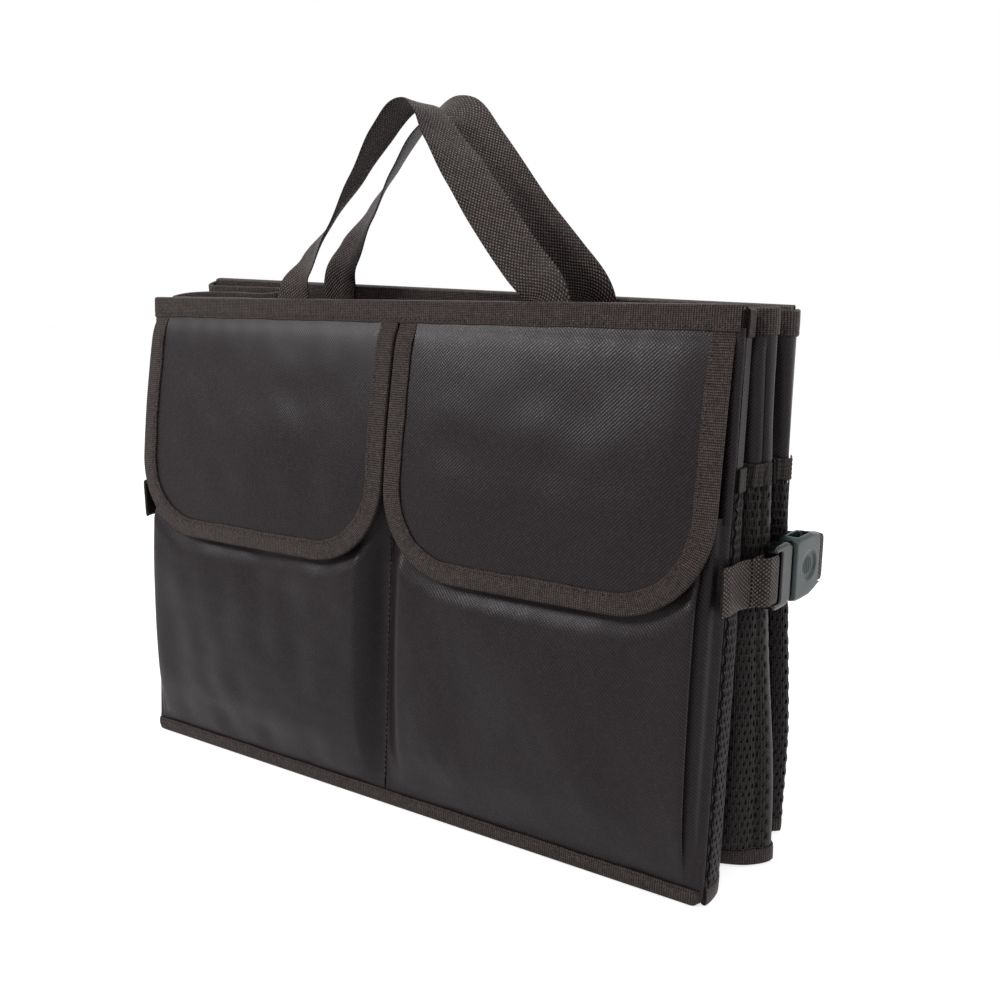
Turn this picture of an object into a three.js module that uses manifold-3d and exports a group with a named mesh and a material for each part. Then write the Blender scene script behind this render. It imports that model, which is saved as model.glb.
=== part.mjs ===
import * as THREE from 'three';
import { mergeVertices } from 'three/addons/utils/BufferGeometryUtils.js';
import Module from 'manifold-3d';

const wasm = await Module();
wasm.setup();

// Folding car boot organizer, folded flat and standing on its lower edges, in millimetres.
// X runs along the long panels, Y from the front panel to the back panel, Z up.
// The model is laid out from the ground under the middle of the front panel, and is moved
// at the end so that its origin is on the ground under the middle of its box.

// Panels
const PANEL_W = 400;
const PANEL_H = 300;
const FABRIC_T = 1.0;
const BOARD_T = 3.0;
const LINING_T = 0.8;
const LAYER_GAP = 0.3; // between layers that lie on each other
const FRONT_LEAN = 4.35; // degrees, the top leans back
const BACK_LEAN = 6.3; // degrees, the top leans forward
const DIVIDER_LEAN = 3.24; // degrees, the top leans forward
const STACK_Y = 106; // front face to back face at the ground
const DIVIDER_Y = 61; // middle of the divider at the ground
const DIVIDER_IN = 6; // divider's ends, in from the panels' ends
const DIVIDER_DROP = 5; // divider's top edge, below the panels' top edges
const BACK_ROLL = 2.0; // degrees, the back panel's left end is lifted
const DIVIDER_ROLL = 0.4;

// Bindings: folded tape over every raw edge
const TAPE_T = 0.9;
const TAPE_W = 12; // height of the tape on the flaps and top edges
const HEM_W = 8; // height of the tape along the lower edges

// Flaps and the pockets under them
const FLAP_SPLIT_X = 3; // the two flaps meet here
const FLAP_GAP = 1.2; // between the two flaps
const FLAP_EDGE = 1.5; // from a flap's outer edge to the panel's edge
const FLAP_LOW = 147; // height of a flap's lower edge up the panel
const FLAP_CORNER = 50;
const HINGE_DROP = 0.6; // from the top tape's lower edge to a flap's fold
const FLAP_OPEN_TAPE = 1.7; // the flap seam strip's outer face, from the panel's face
const POCKET_TOP = 200;
const POCKET_SEAM_X = 0.4; // half the gap between the pockets at the middle seam
const PATCH_W = 60;
const PATCH_H = 18;
const PATCH_T = 1.2;
const PATCH_S = 172; // height of the patches' middle up the panel

// End walls, folded inwards in each bay, with an elasticated net pocket
const WALL_T = 1.0;
const WALL_OUT = 2.0; // from the panel's edge to the middle of the wall
const VALLEY_IN = 72; // from the panel's edge in to the inward folds
const RIDGE_OUT_LOW = 18.5; // from the panel's edge out to the fold round the divider
const RIDGE_OUT_STRAP = 10; // the same where the closing strap presses on it
const RIDGE_OUT_TOP = 7.7;
const REAR_BULGE = 11.5; // swell of the end wall's fold behind the divider
const NET_T = 0.9;
const NET_GAP = 0.8; // net to wall
const NET_RIB = 0.6; // height of the net's ribs
const NET_LOW = 10.6;
const NET_TOP = 212;
const ELASTIC_T = 1.6;
const ELASTIC_H = 12;

// Folding base boards
const BASE_T = 2.5;
const BASE_IN = 14; // base boards' ends, in from the panels' ends
const BASE_H = 150;

// Carrying handles
const HANDLE_W = 25;
const HANDLE_T = 1.5;
const HANDLE_SEWN = 46; // length sewn down inside the panel
const HANDLE_X = 90; // from the middle to each handle's left end
const HANDLE_END = 95; // from the middle to each handle's right end
const HANDLE_RISE = 110.5; // from the panel's top edge to the front handle's top

// Closing straps and side-release buckles
const STRAP_W = 25;
const STRAP_T = 1.6;
const STRAP_Z = 166;
const BUCKLE_W = 34;
const BUCKLE_T = 11;
const BUCKLE_OUT = 14.6; // start of the buckle, out from the panel's edge
const BUCKLE_Y = 37.5;
const BUCKLE_TURN = 8; // degrees from the Y axis, outwards
const PLUG_BASE = 20; // length of the plug's frame
const PLUG_T = 8;
const SOCKET_END = 58;
const BAR_T = 3;
const BAR_HALF = 2.0; // half a strap bar's height
const SLOT_L = 4.4;
const PRONG_CLEAR = 0.3; // prong to socket

const EDGE = PANEL_W / 2;
const DIVIDER_W = PANEL_W - 2 * DIVIDER_IN;
const DIVIDER_H = PANEL_H - DIVIDER_DROP;
const VALLEY_X = EDGE - VALLEY_IN;
const BASE_L = PANEL_W - 2 * BASE_IN;
const BUCKLE_X = EDGE + BUCKLE_OUT;
const PANEL_T = FABRIC_T + BOARD_T + LINING_T + 2 * LAYER_GAP;
const WALL_X = EDGE + WALL_OUT;
const rad = THREE.MathUtils.degToRad;
const mix = THREE.MathUtils.lerp;
const clamp = THREE.MathUtils.clamp;
const V = (x, y, z) => new THREE.Vector3(x, y, z);

function cloth(color, roughness) {
  return new THREE.MeshStandardMaterial({ color, roughness, metalness: 0 });
}
const FABRIC = cloth(0x3a383d, 0.86);
const FABRIC_IN = cloth(0x242326, 0.9);
const TAPE = cloth(0x332d2a, 0.82);
const NET = cloth(0x2b292d, 0.85);
const ELASTIC = cloth(0x2f2b2c, 0.8);
const WEBBING = cloth(0x322d2c, 0.78);
const BOARD = cloth(0x6b5a48, 0.95);
const PLUG = cloth(0x17181a, 0.28);
const SOCKET = cloth(0x2c3634, 0.4);
const PATCH = cloth(0x1c1b1d, 0.95);

function signedVolume(pos, index) {
  let sum = 0;
  for (let k = 0; k < index.length; k += 3) {
    const [a, b, c] = [index[k], index[k + 1], index[k + 2]].map((n) => n * 3);
    sum += pos[a] * (pos[b + 1] * pos[c + 2] - pos[b + 2] * pos[c + 1]);
    sum += pos[a + 1] * (pos[b + 2] * pos[c] - pos[b] * pos[c + 2]);
    sum += pos[a + 2] * (pos[b] * pos[c + 1] - pos[b + 1] * pos[c]);
  }
  return sum / 6;
}

// Geometry of a closed body; the faces are turned to point outwards.
function closed(pos, index) {
  const tri = index.slice();
  if (signedVolume(pos, tri) < 0) {
    for (let k = 0; k < tri.length; k += 3) {
      [tri[k + 1], tri[k + 2]] = [tri[k + 2], tri[k + 1]];
    }
  }
  const geometry = new THREE.BufferGeometry();
  geometry.setAttribute('position', new THREE.Float32BufferAttribute(pos, 3));
  geometry.setIndex(tri);
  geometry.computeVertexNormals();
  return geometry;
}

// Closed sheet between two surfaces given as functions of the same two parameters.
function shell(us, vs, outer, inner) {
  const pos = [];
  const index = [];
  const nu = us.length;
  const nv = vs.length;
  for (const f of [outer, inner]) {
    for (const v of vs) {
      for (const u of us) pos.push(...f(u, v).toArray());
    }
  }
  const at = (side, i, j) => side * nu * nv + j * nu + i;
  const quad = (a, b, c, d) => index.push(a, b, c, a, c, d);
  for (let j = 0; j < nv - 1; j += 1) {
    for (let i = 0; i < nu - 1; i += 1) {
      quad(at(0, i, j), at(0, i + 1, j), at(0, i + 1, j + 1), at(0, i, j + 1));
      quad(at(1, i, j + 1), at(1, i + 1, j + 1), at(1, i + 1, j), at(1, i, j));
    }
  }
  for (let i = 0; i < nu - 1; i += 1) {
    quad(at(0, i + 1, 0), at(0, i, 0), at(1, i, 0), at(1, i + 1, 0));
    quad(at(0, i, nv - 1), at(0, i + 1, nv - 1), at(1, i + 1, nv - 1), at(1, i, nv - 1));
  }
  for (let j = 0; j < nv - 1; j += 1) {
    quad(at(0, 0, j), at(0, 0, j + 1), at(1, 0, j + 1), at(1, 0, j));
    quad(at(0, nu - 1, j + 1), at(0, nu - 1, j), at(1, nu - 1, j), at(1, nu - 1, j + 1));
  }
  return closed(pos, index);
}

// Unit normal of a surface, from small steps of its two parameters.
function normalAt(f, u, v) {
  const e = 1e-3;
  const du = f(u + e, v).sub(f(u - e, v));
  const dv = f(u, v + e).sub(f(u, v - e));
  return du.cross(dv).normalize();
}

// Closed sheet that lies between two offsets from one surface.
function sheet(us, vs, f, from, to) {
  const side = (t) => (u, v) => f(u, v).addScaledVector(normalAt(f, u, v), t(u, v));
  const dist = (t) => (typeof t === 'function' ? t : () => t);
  return shell(us, vs, side(dist(to)), side(dist(from)));
}

function steps(from, to, n) {
  return Array.from({ length: n + 1 }, (_, i) => mix(from, to, i / n));
}

// Section of [a, b] points swept through frames { p, a, b }.
function sweep(section, frames) {
  const pos = [];
  const index = [];
  const n = section.length;
  for (const frame of frames) {
    for (const [a, b] of section) {
      const q = frame.p.clone().addScaledVector(frame.a, a).addScaledVector(frame.b, b);
      pos.push(...q.toArray());
    }
  }
  for (let k = 0; k < frames.length - 1; k += 1) {
    for (let i = 0; i < n; i += 1) {
      const j = (i + 1) % n;
      const [p, q, r, s] = [k * n + i, k * n + j, (k + 1) * n + j, (k + 1) * n + i];
      index.push(p, q, r, p, r, s);
    }
  }
  const flat = section.map(([a, b]) => new THREE.Vector2(a, b));
  const last = (frames.length - 1) * n;
  for (const [i, j, k] of THREE.ShapeUtils.triangulateShape(flat, [])) {
    const turn = THREE.ShapeUtils.area(flat) > 0;
    const [p, q] = turn ? [j, k] : [k, j];
    index.push(i, q, p);
    index.push(last + i, last + p, last + q);
  }
  return closed(pos, index);
}

// U of tape around an edge: a runs inwards from the edge, b through the thickness.
function tapeSection(width, low, high) {
  const g = LAYER_GAP;
  const t = TAPE_T;
  const [b0, b1] = [low - g, high + g];
  return [
    [width, b0 - t], [-g - t, b0 - t], [-g - t, b1 + t], [width, b1 + t],
    [width, b1], [-g, b1], [-g, b0], [width, b0],
  ];
}

// Flat layer of a panel, between two corners.
function slab(x0, x1, z0, z1, y0, y1) {
  const geometry = new THREE.BoxGeometry(x1 - x0, y1 - y0, z1 - z0);
  geometry.translate((x0 + x1) / 2, (y0 + y1) / 2, (z0 + z1) / 2);
  return geometry;
}

function named(name, geometry, material, parent) {
  const mesh = new THREE.Mesh(geometry, material);
  mesh.name = name;
  parent.add(mesh);
  return mesh;
}

const organizer = new THREE.Group();

// Frames of the three upright panels. In each, X runs along the panel, Z up its slope,
// and Y points to the back; the front panel's outer face is Y = 0, the back panel's
// outer face is Y = 0 and the divider's middle is Y = 0.
function panelMatrix(lean, y0, roll, pivotX) {
  const m = new THREE.Matrix4().makeTranslation(pivotX, y0, 0);
  m.multiply(new THREE.Matrix4().makeRotationX(rad(-lean)));
  m.multiply(new THREE.Matrix4().makeRotationY(rad(roll)));
  m.multiply(new THREE.Matrix4().makeTranslation(-EDGE, 0, 0));
  return m;
}
const FRONT = panelMatrix(FRONT_LEAN, 0, 0, EDGE);
const MIDDLE = panelMatrix(-DIVIDER_LEAN, DIVIDER_Y, DIVIDER_ROLL, EDGE - 0.5);
const BACK = panelMatrix(-BACK_LEAN, STACK_Y, BACK_ROLL, EDGE - 1);

function panelGroup(matrix) {
  const group = new THREE.Group();
  matrix.decompose(group.position, group.quaternion, group.scale);
  organizer.add(group);
  return group;
}
const front = panelGroup(FRONT);
const middle = panelGroup(MIDDLE);
const back = panelGroup(BACK);

// Height that a panel's layers start at, clear of the hem tape under them.
const LIFT = LAYER_GAP + TAPE_T;

// Layers of a panel, from its outer face inwards. dir is 1 where inwards is +Y.
function panelLayers(name, group, dir) {
  const layer = (part, from, t, material) => {
    const [a, b] = [dir * from, dir * (from + t)];
    const z1 = PANEL_H;
    named(`${name}_${part}`, slab(-EDGE, EDGE, LIFT, z1, Math.min(a, b), Math.max(a, b)),
      material, group);
  };
  layer('fabric', 0, FABRIC_T, FABRIC);
  layer('board', FABRIC_T + LAYER_GAP, BOARD_T, BOARD);
  layer('lining', PANEL_T - LINING_T, LINING_T, FABRIC_IN);
}

// Straight tape along a panel's upper or lower edge.
function edgeTape(name, group, x0, x1, edge, up, width, low, high) {
  const a = V(0, 0, up ? -1 : 1);
  const frames = [x0, x1].map((x) => ({ p: V(x, 0, edge), a, b: V(0, 1, 0) }));
  return named(name, sweep(tapeSection(width, low, high), frames), TAPE, group);
}

// Tape along a lower edge whose underside is level with the ground though the panel leans.
function hemTape(name, group, x0, x1, low, high, lean) {
  const section = tapeSection(HEM_W, low, high);
  const slope = Math.tan(rad(lean));
  const floor = (b) => b * slope - LIFT;
  section[1][0] = floor(section[1][1]);
  section[2][0] = floor(section[2][1]);
  const frames = [x0, x1].map((x) => ({ p: V(x, 0, LIFT), a: V(0, 0, 1), b: V(0, 1, 0) }));
  return named(name, sweep(section, frames), TAPE, group);
}

const TAPE_END = EDGE - 1.6;
panelLayers('front_panel', front, 1);
panelLayers('back_panel', back, -1);
edgeTape('front_top_binding', front, -TAPE_END, TAPE_END, PANEL_H, true, TAPE_W,
  -FLAP_OPEN_TAPE - LAYER_GAP, PANEL_T);
edgeTape('back_top_binding', back, -TAPE_END, TAPE_END, PANEL_H, true, TAPE_W, -PANEL_T, 0);
hemTape('front_lower_binding', front, -TAPE_END, TAPE_END, -FABRIC_T - 2 * LAYER_GAP,
  PANEL_T, FRONT_LEAN);
hemTape('back_lower_binding', back, -TAPE_END, TAPE_END, -PANEL_T, 0, -BACK_LEAN);

// Sewn upper edges of the two flaps, held under the top tape.
named('flap_seam_strip', slab(-EDGE + FLAP_EDGE, EDGE - FLAP_EDGE, PANEL_H - TAPE_W + 0.5,
  PANEL_H - 1, -FLAP_OPEN_TAPE, -LAYER_GAP), FABRIC, front);

// Divider between the two bays
const DIV_X = DIVIDER_W / 2;
const DIV_T = 2 * FABRIC_T + BOARD_T + 2 * LAYER_GAP;
const HALF_DIV = DIV_T / 2;
named('divider_board', slab(-DIV_X, DIV_X, LIFT, DIVIDER_H, -BOARD_T / 2, BOARD_T / 2),
  BOARD, middle);
for (const [name, y] of [['front', -HALF_DIV], ['rear', HALF_DIV - FABRIC_T]]) {
  named(`divider_${name}_fabric`, slab(-DIV_X, DIV_X, LIFT, DIVIDER_H, y, y + FABRIC_T),
    FABRIC_IN, middle);
}
edgeTape('divider_top_binding', middle, 0.3 - DIV_X, DIV_X - 0.3, DIVIDER_H, true, TAPE_W,
  -HALF_DIV, HALF_DIV);
hemTape('divider_lower_binding', middle, 0.3 - DIV_X, DIV_X - 0.3, -HALF_DIV, HALF_DIV,
  -DIVIDER_LEAN);

// Smooth curve through [position, value] pairs.
function track(pairs) {
  return (s) => {
    const last = pairs.length - 1;
    let k = 0;
    while (k < last - 1 && s > pairs[k + 1][0]) k += 1;
    const [s0, v0] = pairs[k];
    const [s1, v1] = pairs[k + 1];
    const slope = (i) => {
      const [a, b] = [Math.max(i - 1, 0), Math.min(i + 1, last)];
      return (pairs[b][1] - pairs[a][1]) / (pairs[b][0] - pairs[a][0]);
    };
    const t = clamp((s - s0) / (s1 - s0), 0, 1);
    const h = s1 - s0;
    const [t2, t3] = [t * t, t * t * t];
    return v0 * (2 * t3 - 3 * t2 + 1) + h * slope(k) * (t3 - 2 * t2 + t)
      + v1 * (3 * t2 - 2 * t3) + h * slope(k + 1) * (t3 - t2);
  };
}
const smooth = THREE.MathUtils.smoothstep;

// How far the pockets and the flaps stand off the panel's face, against height.
const pocketDepth = track([[0, 0.85], [6, 0.85], [10, 1.0], [22, 4.6], [42, 9.6], [72, 12.6],
  [100, 13.8], [125, 12.8], [150, 10.6], [175, 9.4], [POCKET_TOP, 8.8]]);
const FLAP_ROOT = PANEL_H - TAPE_W;
const flapDepth = track([[FLAP_LOW, 15.8], [FLAP_LOW + 25, 14.6], [FLAP_LOW + 53, 13.4],
  [FLAP_ROOT - 53, 9.8], [FLAP_ROOT - 23, 5.4], [FLAP_ROOT, 2.4]]);

function pocketFace(x, z) {
  const d = pocketDepth(z);
  const seam = 0.85 + (d - 0.85) * smooth(Math.abs(x), 1.5, 26);
  const crown = Math.sin(Math.PI * clamp(Math.abs(x) / EDGE, 0, 1));
  return seam + 2.4 * crown * smooth(z, 14, 70) * (1 - smooth(z, 95, 140));
}

// Pocket sheet from the panel's edge, round the tucked gusset, over the face to the
// middle seam. u counts the points of the section.
const POCKET_FACE_STEPS = 11;
function pocketPoint(side) {
  return (u, z) => {
    const d = pocketDepth(z);
    const k = clamp((d - 3) / 6, 0, 1);
    const face = EDGE - 9.5;
    const gusset = [
      [EDGE - 0.6, 0.85], [EDGE - 2.4, mix(0.85, d, 0.14)], [EDGE - 4.2, mix(0.85, d, 0.42)],
      [face + mix(2.6, -2.4, k), mix(0.85, d, 0.56)], [face + 0.6, mix(d, 0.85, 0.1)],
      [face - 1.4, d],
    ];
    const n = gusset.length;
    const i = Math.floor(clamp(u, 0, n - 1));
    if (u <= n - 1) {
      const t = u - i;
      const [a, b] = [gusset[i], gusset[Math.min(i + 1, n - 1)]];
      return V(side * mix(a[0], b[0], t), -mix(a[1], b[1], t), z);
    }
    const t = clamp(u - (n - 1), 0, POCKET_FACE_STEPS) / POCKET_FACE_STEPS;
    const x = mix(face - 1.4, POCKET_SEAM_X, Math.sin(t * Math.PI / 2) * 0.55 + t * 0.45);
    return V(side * x, -pocketFace(x, z) * smooth(t * 4, -1, 1) - (1 - smooth(t * 4, -1, 1)) * d, z);
  };
}
const pocketUs = [...steps(0, 5, 5), ...steps(6, 5 + POCKET_FACE_STEPS, POCKET_FACE_STEPS - 1)];
const pocketVs = [2, 10, 18, 32, 60, 100, 132, 165, POCKET_TOP];

// Flap outline: half the width at a depth below the fold, with round lower corners.
function flapHalf(z, half) {
  const d = clamp(FLAP_LOW + FLAP_CORNER - z, 0, FLAP_CORNER);
  return half - FLAP_CORNER + Math.sqrt(FLAP_CORNER ** 2 - d ** 2);
}
function flapSurface(cx, half) {
  return (x, z) => {
    const crown = 1.3 * (1 - ((x - cx) / half) ** 2) * smooth(FLAP_ROOT - z, 0, 60);
    return V(x, -flapDepth(z) - crown, z);
  };
}
const FOLD_Z = FLAP_ROOT - HINGE_DROP;

// Edge tape of a flap: down one side, round the corners and up the other side.
function flapTape(surface, cx, half) {
  const edge = [];
  const inset = TAPE_T + LAYER_GAP;
  const r = FLAP_CORNER;
  for (const z of [FOLD_Z - 0.6, FLAP_ROOT - 23, FLAP_ROOT - 48, FLAP_LOW + r]) edge.push([-half, z, -1, 0]);
  for (const a of steps(0, 90, 7).slice(1)) {
    const [c, s] = [Math.cos(rad(a)), Math.sin(rad(a))];
    edge.push([-half + r - r * c, FLAP_LOW + r - r * s, -c, -s]);
  }
  const mirrored = edge.map(([x, z, a, b]) => [-x, z, -a, b]).reverse();
  return [...edge, ...mirrored].map(([x, z, ox, oz]) => {
    const out = V(ox, 0, oz);
    const p = surface(cx + x - ox * inset, z - oz * inset);
    const e = 0.5;
    const px = surface(cx + x + e, z).sub(surface(cx + x - e, z)).normalize();
    const pz = surface(cx + x, z + e).sub(surface(cx + x, z - e)).normalize();
    const n = pz.clone().cross(px).negate().normalize();
    const inwards = px.multiplyScalar(-out.x).addScaledVector(pz, -out.z).normalize();
    return { p, a: inwards, b: n.cross(inwards).cross(inwards).negate().normalize() };
  });
}

for (const [name, side] of [['left', -1], ['right', 1]]) {
  const pocket = pocketPoint(side);
  named(`${name}_pocket`, sheet(pocketUs, pocketVs, pocket, -0.5, 0.5), FABRIC, front);

  // Tape over the pocket's mouth
  const mouth = pocketUs.slice(6, -2).map((u) => {
    const a = pocket(u, pocketVs[pocketVs.length - 2]).sub(pocket(u, POCKET_TOP)).normalize();
    return { p: pocket(u, POCKET_TOP), a, b: normalAt(pocket, u, POCKET_TOP - 0.1) };
  });
  named(`${name}_pocket_mouth_binding`, sweep(tapeSection(HEM_W, -0.6, 0.6), mouth), TAPE, front);

  const x0 = side < 0 ? -EDGE + FLAP_EDGE : FLAP_SPLIT_X + FLAP_GAP / 2;
  const x1 = side < 0 ? FLAP_SPLIT_X - FLAP_GAP / 2 : EDGE - FLAP_EDGE;
  const [cx, half] = [(x0 + x1) / 2, (x1 - x0) / 2];
  const surface = flapSurface(cx, half);
  const cut = TAPE_T + LAYER_GAP;
  const rows = [FOLD_Z, FLAP_ROOT - 20, FLAP_ROOT - 48, FLAP_LOW + 58, FLAP_LOW + 33, FLAP_LOW + 17,
    FLAP_LOW + 7, FLAP_LOW + cut + 0.02];
  const flapAt = (u, z) => {
    const w = flapHalf(Math.max(z - cut, FLAP_LOW), half) - cut;
    return surface(cx + u * w, z);
  };
  const us = steps(-1, 1, 10);
  named(`${name}_flap`, shell(us, rows,
    (u, z) => flapAt(u, z).add(V(0, -FABRIC_T / 2, 0)),
    (u, z) => flapAt(u, z).add(V(0, FABRIC_T / 2, 0))), FABRIC, front);
  named(`${name}_flap_binding`, sweep(tapeSection(TAPE_W - cut, -0.65, 0.65),
    flapTape(surface, cx, half)), TAPE, front);

  // Hook patch inside the flap and loop patch on the pocket
  const px = steps(cx - PATCH_W / 2, cx + PATCH_W / 2, 4);
  const pz = steps(PATCH_S - PATCH_H / 2, PATCH_S + PATCH_H / 2, 2);
  const under = (t) => (x, z) => surface(x, z).add(V(0, FABRIC_T / 2 + LAYER_GAP + t, 0));
  named(`${name}_hook_patch`, shell(px, pz, under(0), under(PATCH_T)), PATCH, front);
  const over = (t) => (x, z) => V(x, -pocketFace(x, z) - 0.6 - LAYER_GAP - t, z);
  named(`${name}_loop_patch`, shell(px, pz, over(PATCH_T), over(0)), PATCH, front);
}

// Base boards, folded up against the front and back panels
for (const [name, group, dir] of [['front', front, 1], ['rear', back, -1]]) {
  const [a, b] = [dir * (PANEL_T + 0.5), dir * (PANEL_T + 0.5 + BASE_T)];
  named(`${name}_base_board`, slab(-BASE_L / 2, BASE_L / 2, HEM_W + 2, HEM_W + 2 + BASE_H,
    Math.min(a, b), Math.max(a, b)), FABRIC_IN, group);
}

// A point in a bay: x along the panel, eta from the outer panel's lining towards the
// divider, z up the slope. The front bay is bay 0 and the rear bay is bay 1.
function bayPoint(bay, x, eta, z) {
  if (eta < 0) {
    const y = PANEL_T + eta;
    return bay ? V(x, -y, z).applyMatrix4(BACK) : V(x, y, z).applyMatrix4(FRONT);
  }
  const outer = bay ? V(x, -PANEL_T, z).applyMatrix4(BACK) : V(x, PANEL_T, z).applyMatrix4(FRONT);
  const inner = V(x, bay ? HALF_DIV : -HALF_DIV, z).applyMatrix4(MIDDLE);
  return outer.lerp(inner, eta / bayGap(bay, z));
}
function bayGap(bay, z) {
  const outer = bay ? V(0, -PANEL_T, z).applyMatrix4(BACK) : V(0, PANEL_T, z).applyMatrix4(FRONT);
  const inner = V(0, bay ? HALF_DIV : -HALF_DIV, z).applyMatrix4(MIDDLE);
  return Math.abs(outer.y - inner.y);
}

// How far out the fold round the divider lies, and how far the fold behind it swells
const ridgeAt = track([[0, EDGE + RIDGE_OUT_LOW], [60, EDGE + RIDGE_OUT_LOW - 2],
  [STRAP_Z - STRAP_W, EDGE + RIDGE_OUT_STRAP], [NET_TOP, EDGE + RIDGE_OUT_STRAP - 1.4],
  [PANEL_H, EDGE + RIDGE_OUT_TOP]]);
const rearBulge = track([[0, REAR_BULGE], [60, REAR_BULGE], [120, 0.66 * REAR_BULGE],
  [200, 0.2 * REAR_BULGE], [PANEL_H, 0]]);

// Control points of one bay's half of an end wall, as [x, eta], from the outer panel's
// edge, in to the fold and out again towards the divider's edge.
function leaf(bay, z) {
  const gap = bayGap(bay, z);
  const mid = gap / 2;
  const h = Math.min(6, 0.22 * gap);
  const low = 1 - smooth(z, 120, 240);
  const puff = bay ? rearBulge(z) : low * smooth(z, -30, 40);
  const near = mid - h;
  const far = mid + h;
  const ridge = ridgeAt(z);
  return [
    [WALL_X, -4.2], [WALL_X + 0.5 + 0.5 * puff, 0], [WALL_X + 0.4 + puff, 0.5 * near],
    [WALL_X - 3.4 + 0.5 * puff, 0.95 * near], [WALL_X - 16, near], [VALLEY_X + 34, near],
    [VALLEY_X + h, near], [VALLEY_X, mid], [VALLEY_X + h, far], [VALLEY_X + 34, far],
    [WALL_X - 20, far + 0.05 * (gap - far)], [WALL_X - 9, far + 0.2 * (gap - far)],
    [mix(WALL_X, ridge, 0.45) + 0.6 * low, gap - 2.4 - 0.3 * (gap - far) * low],
  ];
}
function wallCurve(side, z) {
  const pts = leaf(0, z).map(([x, eta]) => bayPoint(0, side * x, eta, z));
  pts.push(V(side * ridgeAt(z), 0, z).applyMatrix4(MIDDLE));
  pts.push(...leaf(1, z).map(([x, eta]) => bayPoint(1, side * x, eta, z)).reverse());
  return new THREE.CatmullRomCurve3(pts, false, 'centripetal');
}
const WALL_SPANS = 26;
const halfUs = [0, 1, 2, 2.6, 3.3, 4.5, 6, 6.5, 7, 7.5, 8, 9.5, 11, 12, 12.6, 13];
const wallUs = [...halfUs, ...halfUs.slice(0, -1).map((u) => WALL_SPANS - u).reverse()];
const WALL_Z0 = LIFT + 1;
const WALL_Z1 = PANEL_H - 2;
const WALL_MID = STRAP_Z - STRAP_W;
const wallZs = [WALL_Z0, 60, WALL_MID, NET_TOP, WALL_Z1];

// Faceted middle surface of an end wall. i counts the columns of facets and may lie
// between two; the layers on the wall use the same facets, so they stay parallel.
function wallSurface(side) {
  const rows = wallZs.map((z) => {
    const curve = wallCurve(side, z);
    return wallUs.map((u) => curve.getPoint(u / WALL_SPANS));
  });
  const normals = rows.map((row, j) => row.map((_, i) => {
    const along = row[Math.min(i + 1, row.length - 1)].clone().sub(row[Math.max(i - 1, 0)]);
    const up = rows[Math.min(j + 1, rows.length - 1)][i].clone().sub(rows[Math.max(j - 1, 0)][i]);
    return along.cross(up).normalize().multiplyScalar(side);
  }));
  const pick = (grid, i, z) => {
    let j = 0;
    while (j < wallZs.length - 2 && z > wallZs[j + 1]) j += 1;
    const t = (z - wallZs[j]) / (wallZs[j + 1] - wallZs[j]);
    const k = Math.min(Math.floor(i), wallUs.length - 2);
    const low = grid[j][k].clone().lerp(grid[j][k + 1], i - k);
    const high = grid[j + 1][k].clone().lerp(grid[j + 1][k + 1], i - k);
    return low.lerp(high, t);
  };
  const point = (i, z) => pick(rows, i, z);
  const normal = (i, z) => pick(normals, i, z).normalize();
  const at = (i, z, t) => point(i, z).addScaledVector(normal(i, z), t);
  return { point, normal, at };
}

const LAST = wallUs.length - 1;
const RIDGE_I = LAST / 2;
for (const [name, side] of [['left', -1], ['right', 1]]) {
  const wall = wallSurface(side);
  const columns = steps(0, LAST, LAST);
  named(`${name}_end_wall`, shell(columns, wallZs, (i, z) => wall.at(i, z, WALL_T / 2),
    (i, z) => wall.at(i, z, -WALL_T / 2)), FABRIC, organizer);
  for (const [edge, z, up, width] of [['top', WALL_Z1, -1, TAPE_W], ['lower', WALL_Z0, 1, HEM_W]]) {
    const frames = columns.map((i) => {
      const a = wall.point(i, z + 5 * up).sub(wall.point(i, z)).normalize();
      return { p: wall.point(i, z), a, b: wall.normal(i, z) };
    });
    const section = tapeSection(width, -WALL_T / 2, WALL_T / 2);
    named(`${name}_end_${edge}_binding`, sweep(section, frames), TAPE, organizer);
  }

  // Net pocket and its elastic, one in each bay, folded with the wall
  const base = WALL_T / 2 + NET_GAP;
  for (const [bay, from, to] of [['front', 1, RIDGE_I - 1], ['rear', RIDGE_I + 1, LAST - 1]]) {
    const ribs = steps(from, to, 2 * (to - from));
    const rib = (i) => (Number.isInteger(i) ? 0 : NET_RIB);
    named(`${name}_${bay}_net_pocket`, shell(ribs, [NET_LOW, 60, WALL_MID, NET_TOP - LAYER_GAP],
      (i, z) => wall.at(i, z, base + NET_T + rib(i)), (i, z) => wall.at(i, z, base)), NET,
    organizer);
    const few = steps(from, to, to - from);
    named(`${name}_${bay}_net_elastic`, shell(few, [NET_TOP, NET_TOP + ELASTIC_H],
      (i, z) => wall.at(i, z, base + ELASTIC_T), (i, z) => wall.at(i, z, base)), ELASTIC,
    organizer);
  }
}

// Ribbon of webbing through points, each with the angle of its width out of the XZ plane.
function ribbon(path, width, thickness, spans) {
  const curve = new THREE.CatmullRomCurve3(path.map((p) => V(p[0], p[1], p[2])), false,
    'centripetal');
  const n = path.length - 1;
  const frames = steps(0, 1, spans).map((t) => {
    const k = Math.min(Math.floor(t * n), n - 1);
    const angle = rad(mix(path[k][3], path[k + 1][3], smooth(t * n - k, 0, 1)));
    const tangent = curve.getTangent(t);
    const across = V(0, 1, 0).cross(tangent).normalize();
    const through = tangent.clone().cross(across).normalize();
    const a = across.clone().multiplyScalar(Math.cos(angle)).addScaledVector(through,
      Math.sin(angle));
    return { p: curve.getPoint(t), a, b: tangent.clone().cross(a).normalize() };
  });
  const [w, h] = [width / 2, thickness / 2];
  return sweep([[-w, -h], [w, -h], [w, h], [-w, h]], frames);
}

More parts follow.
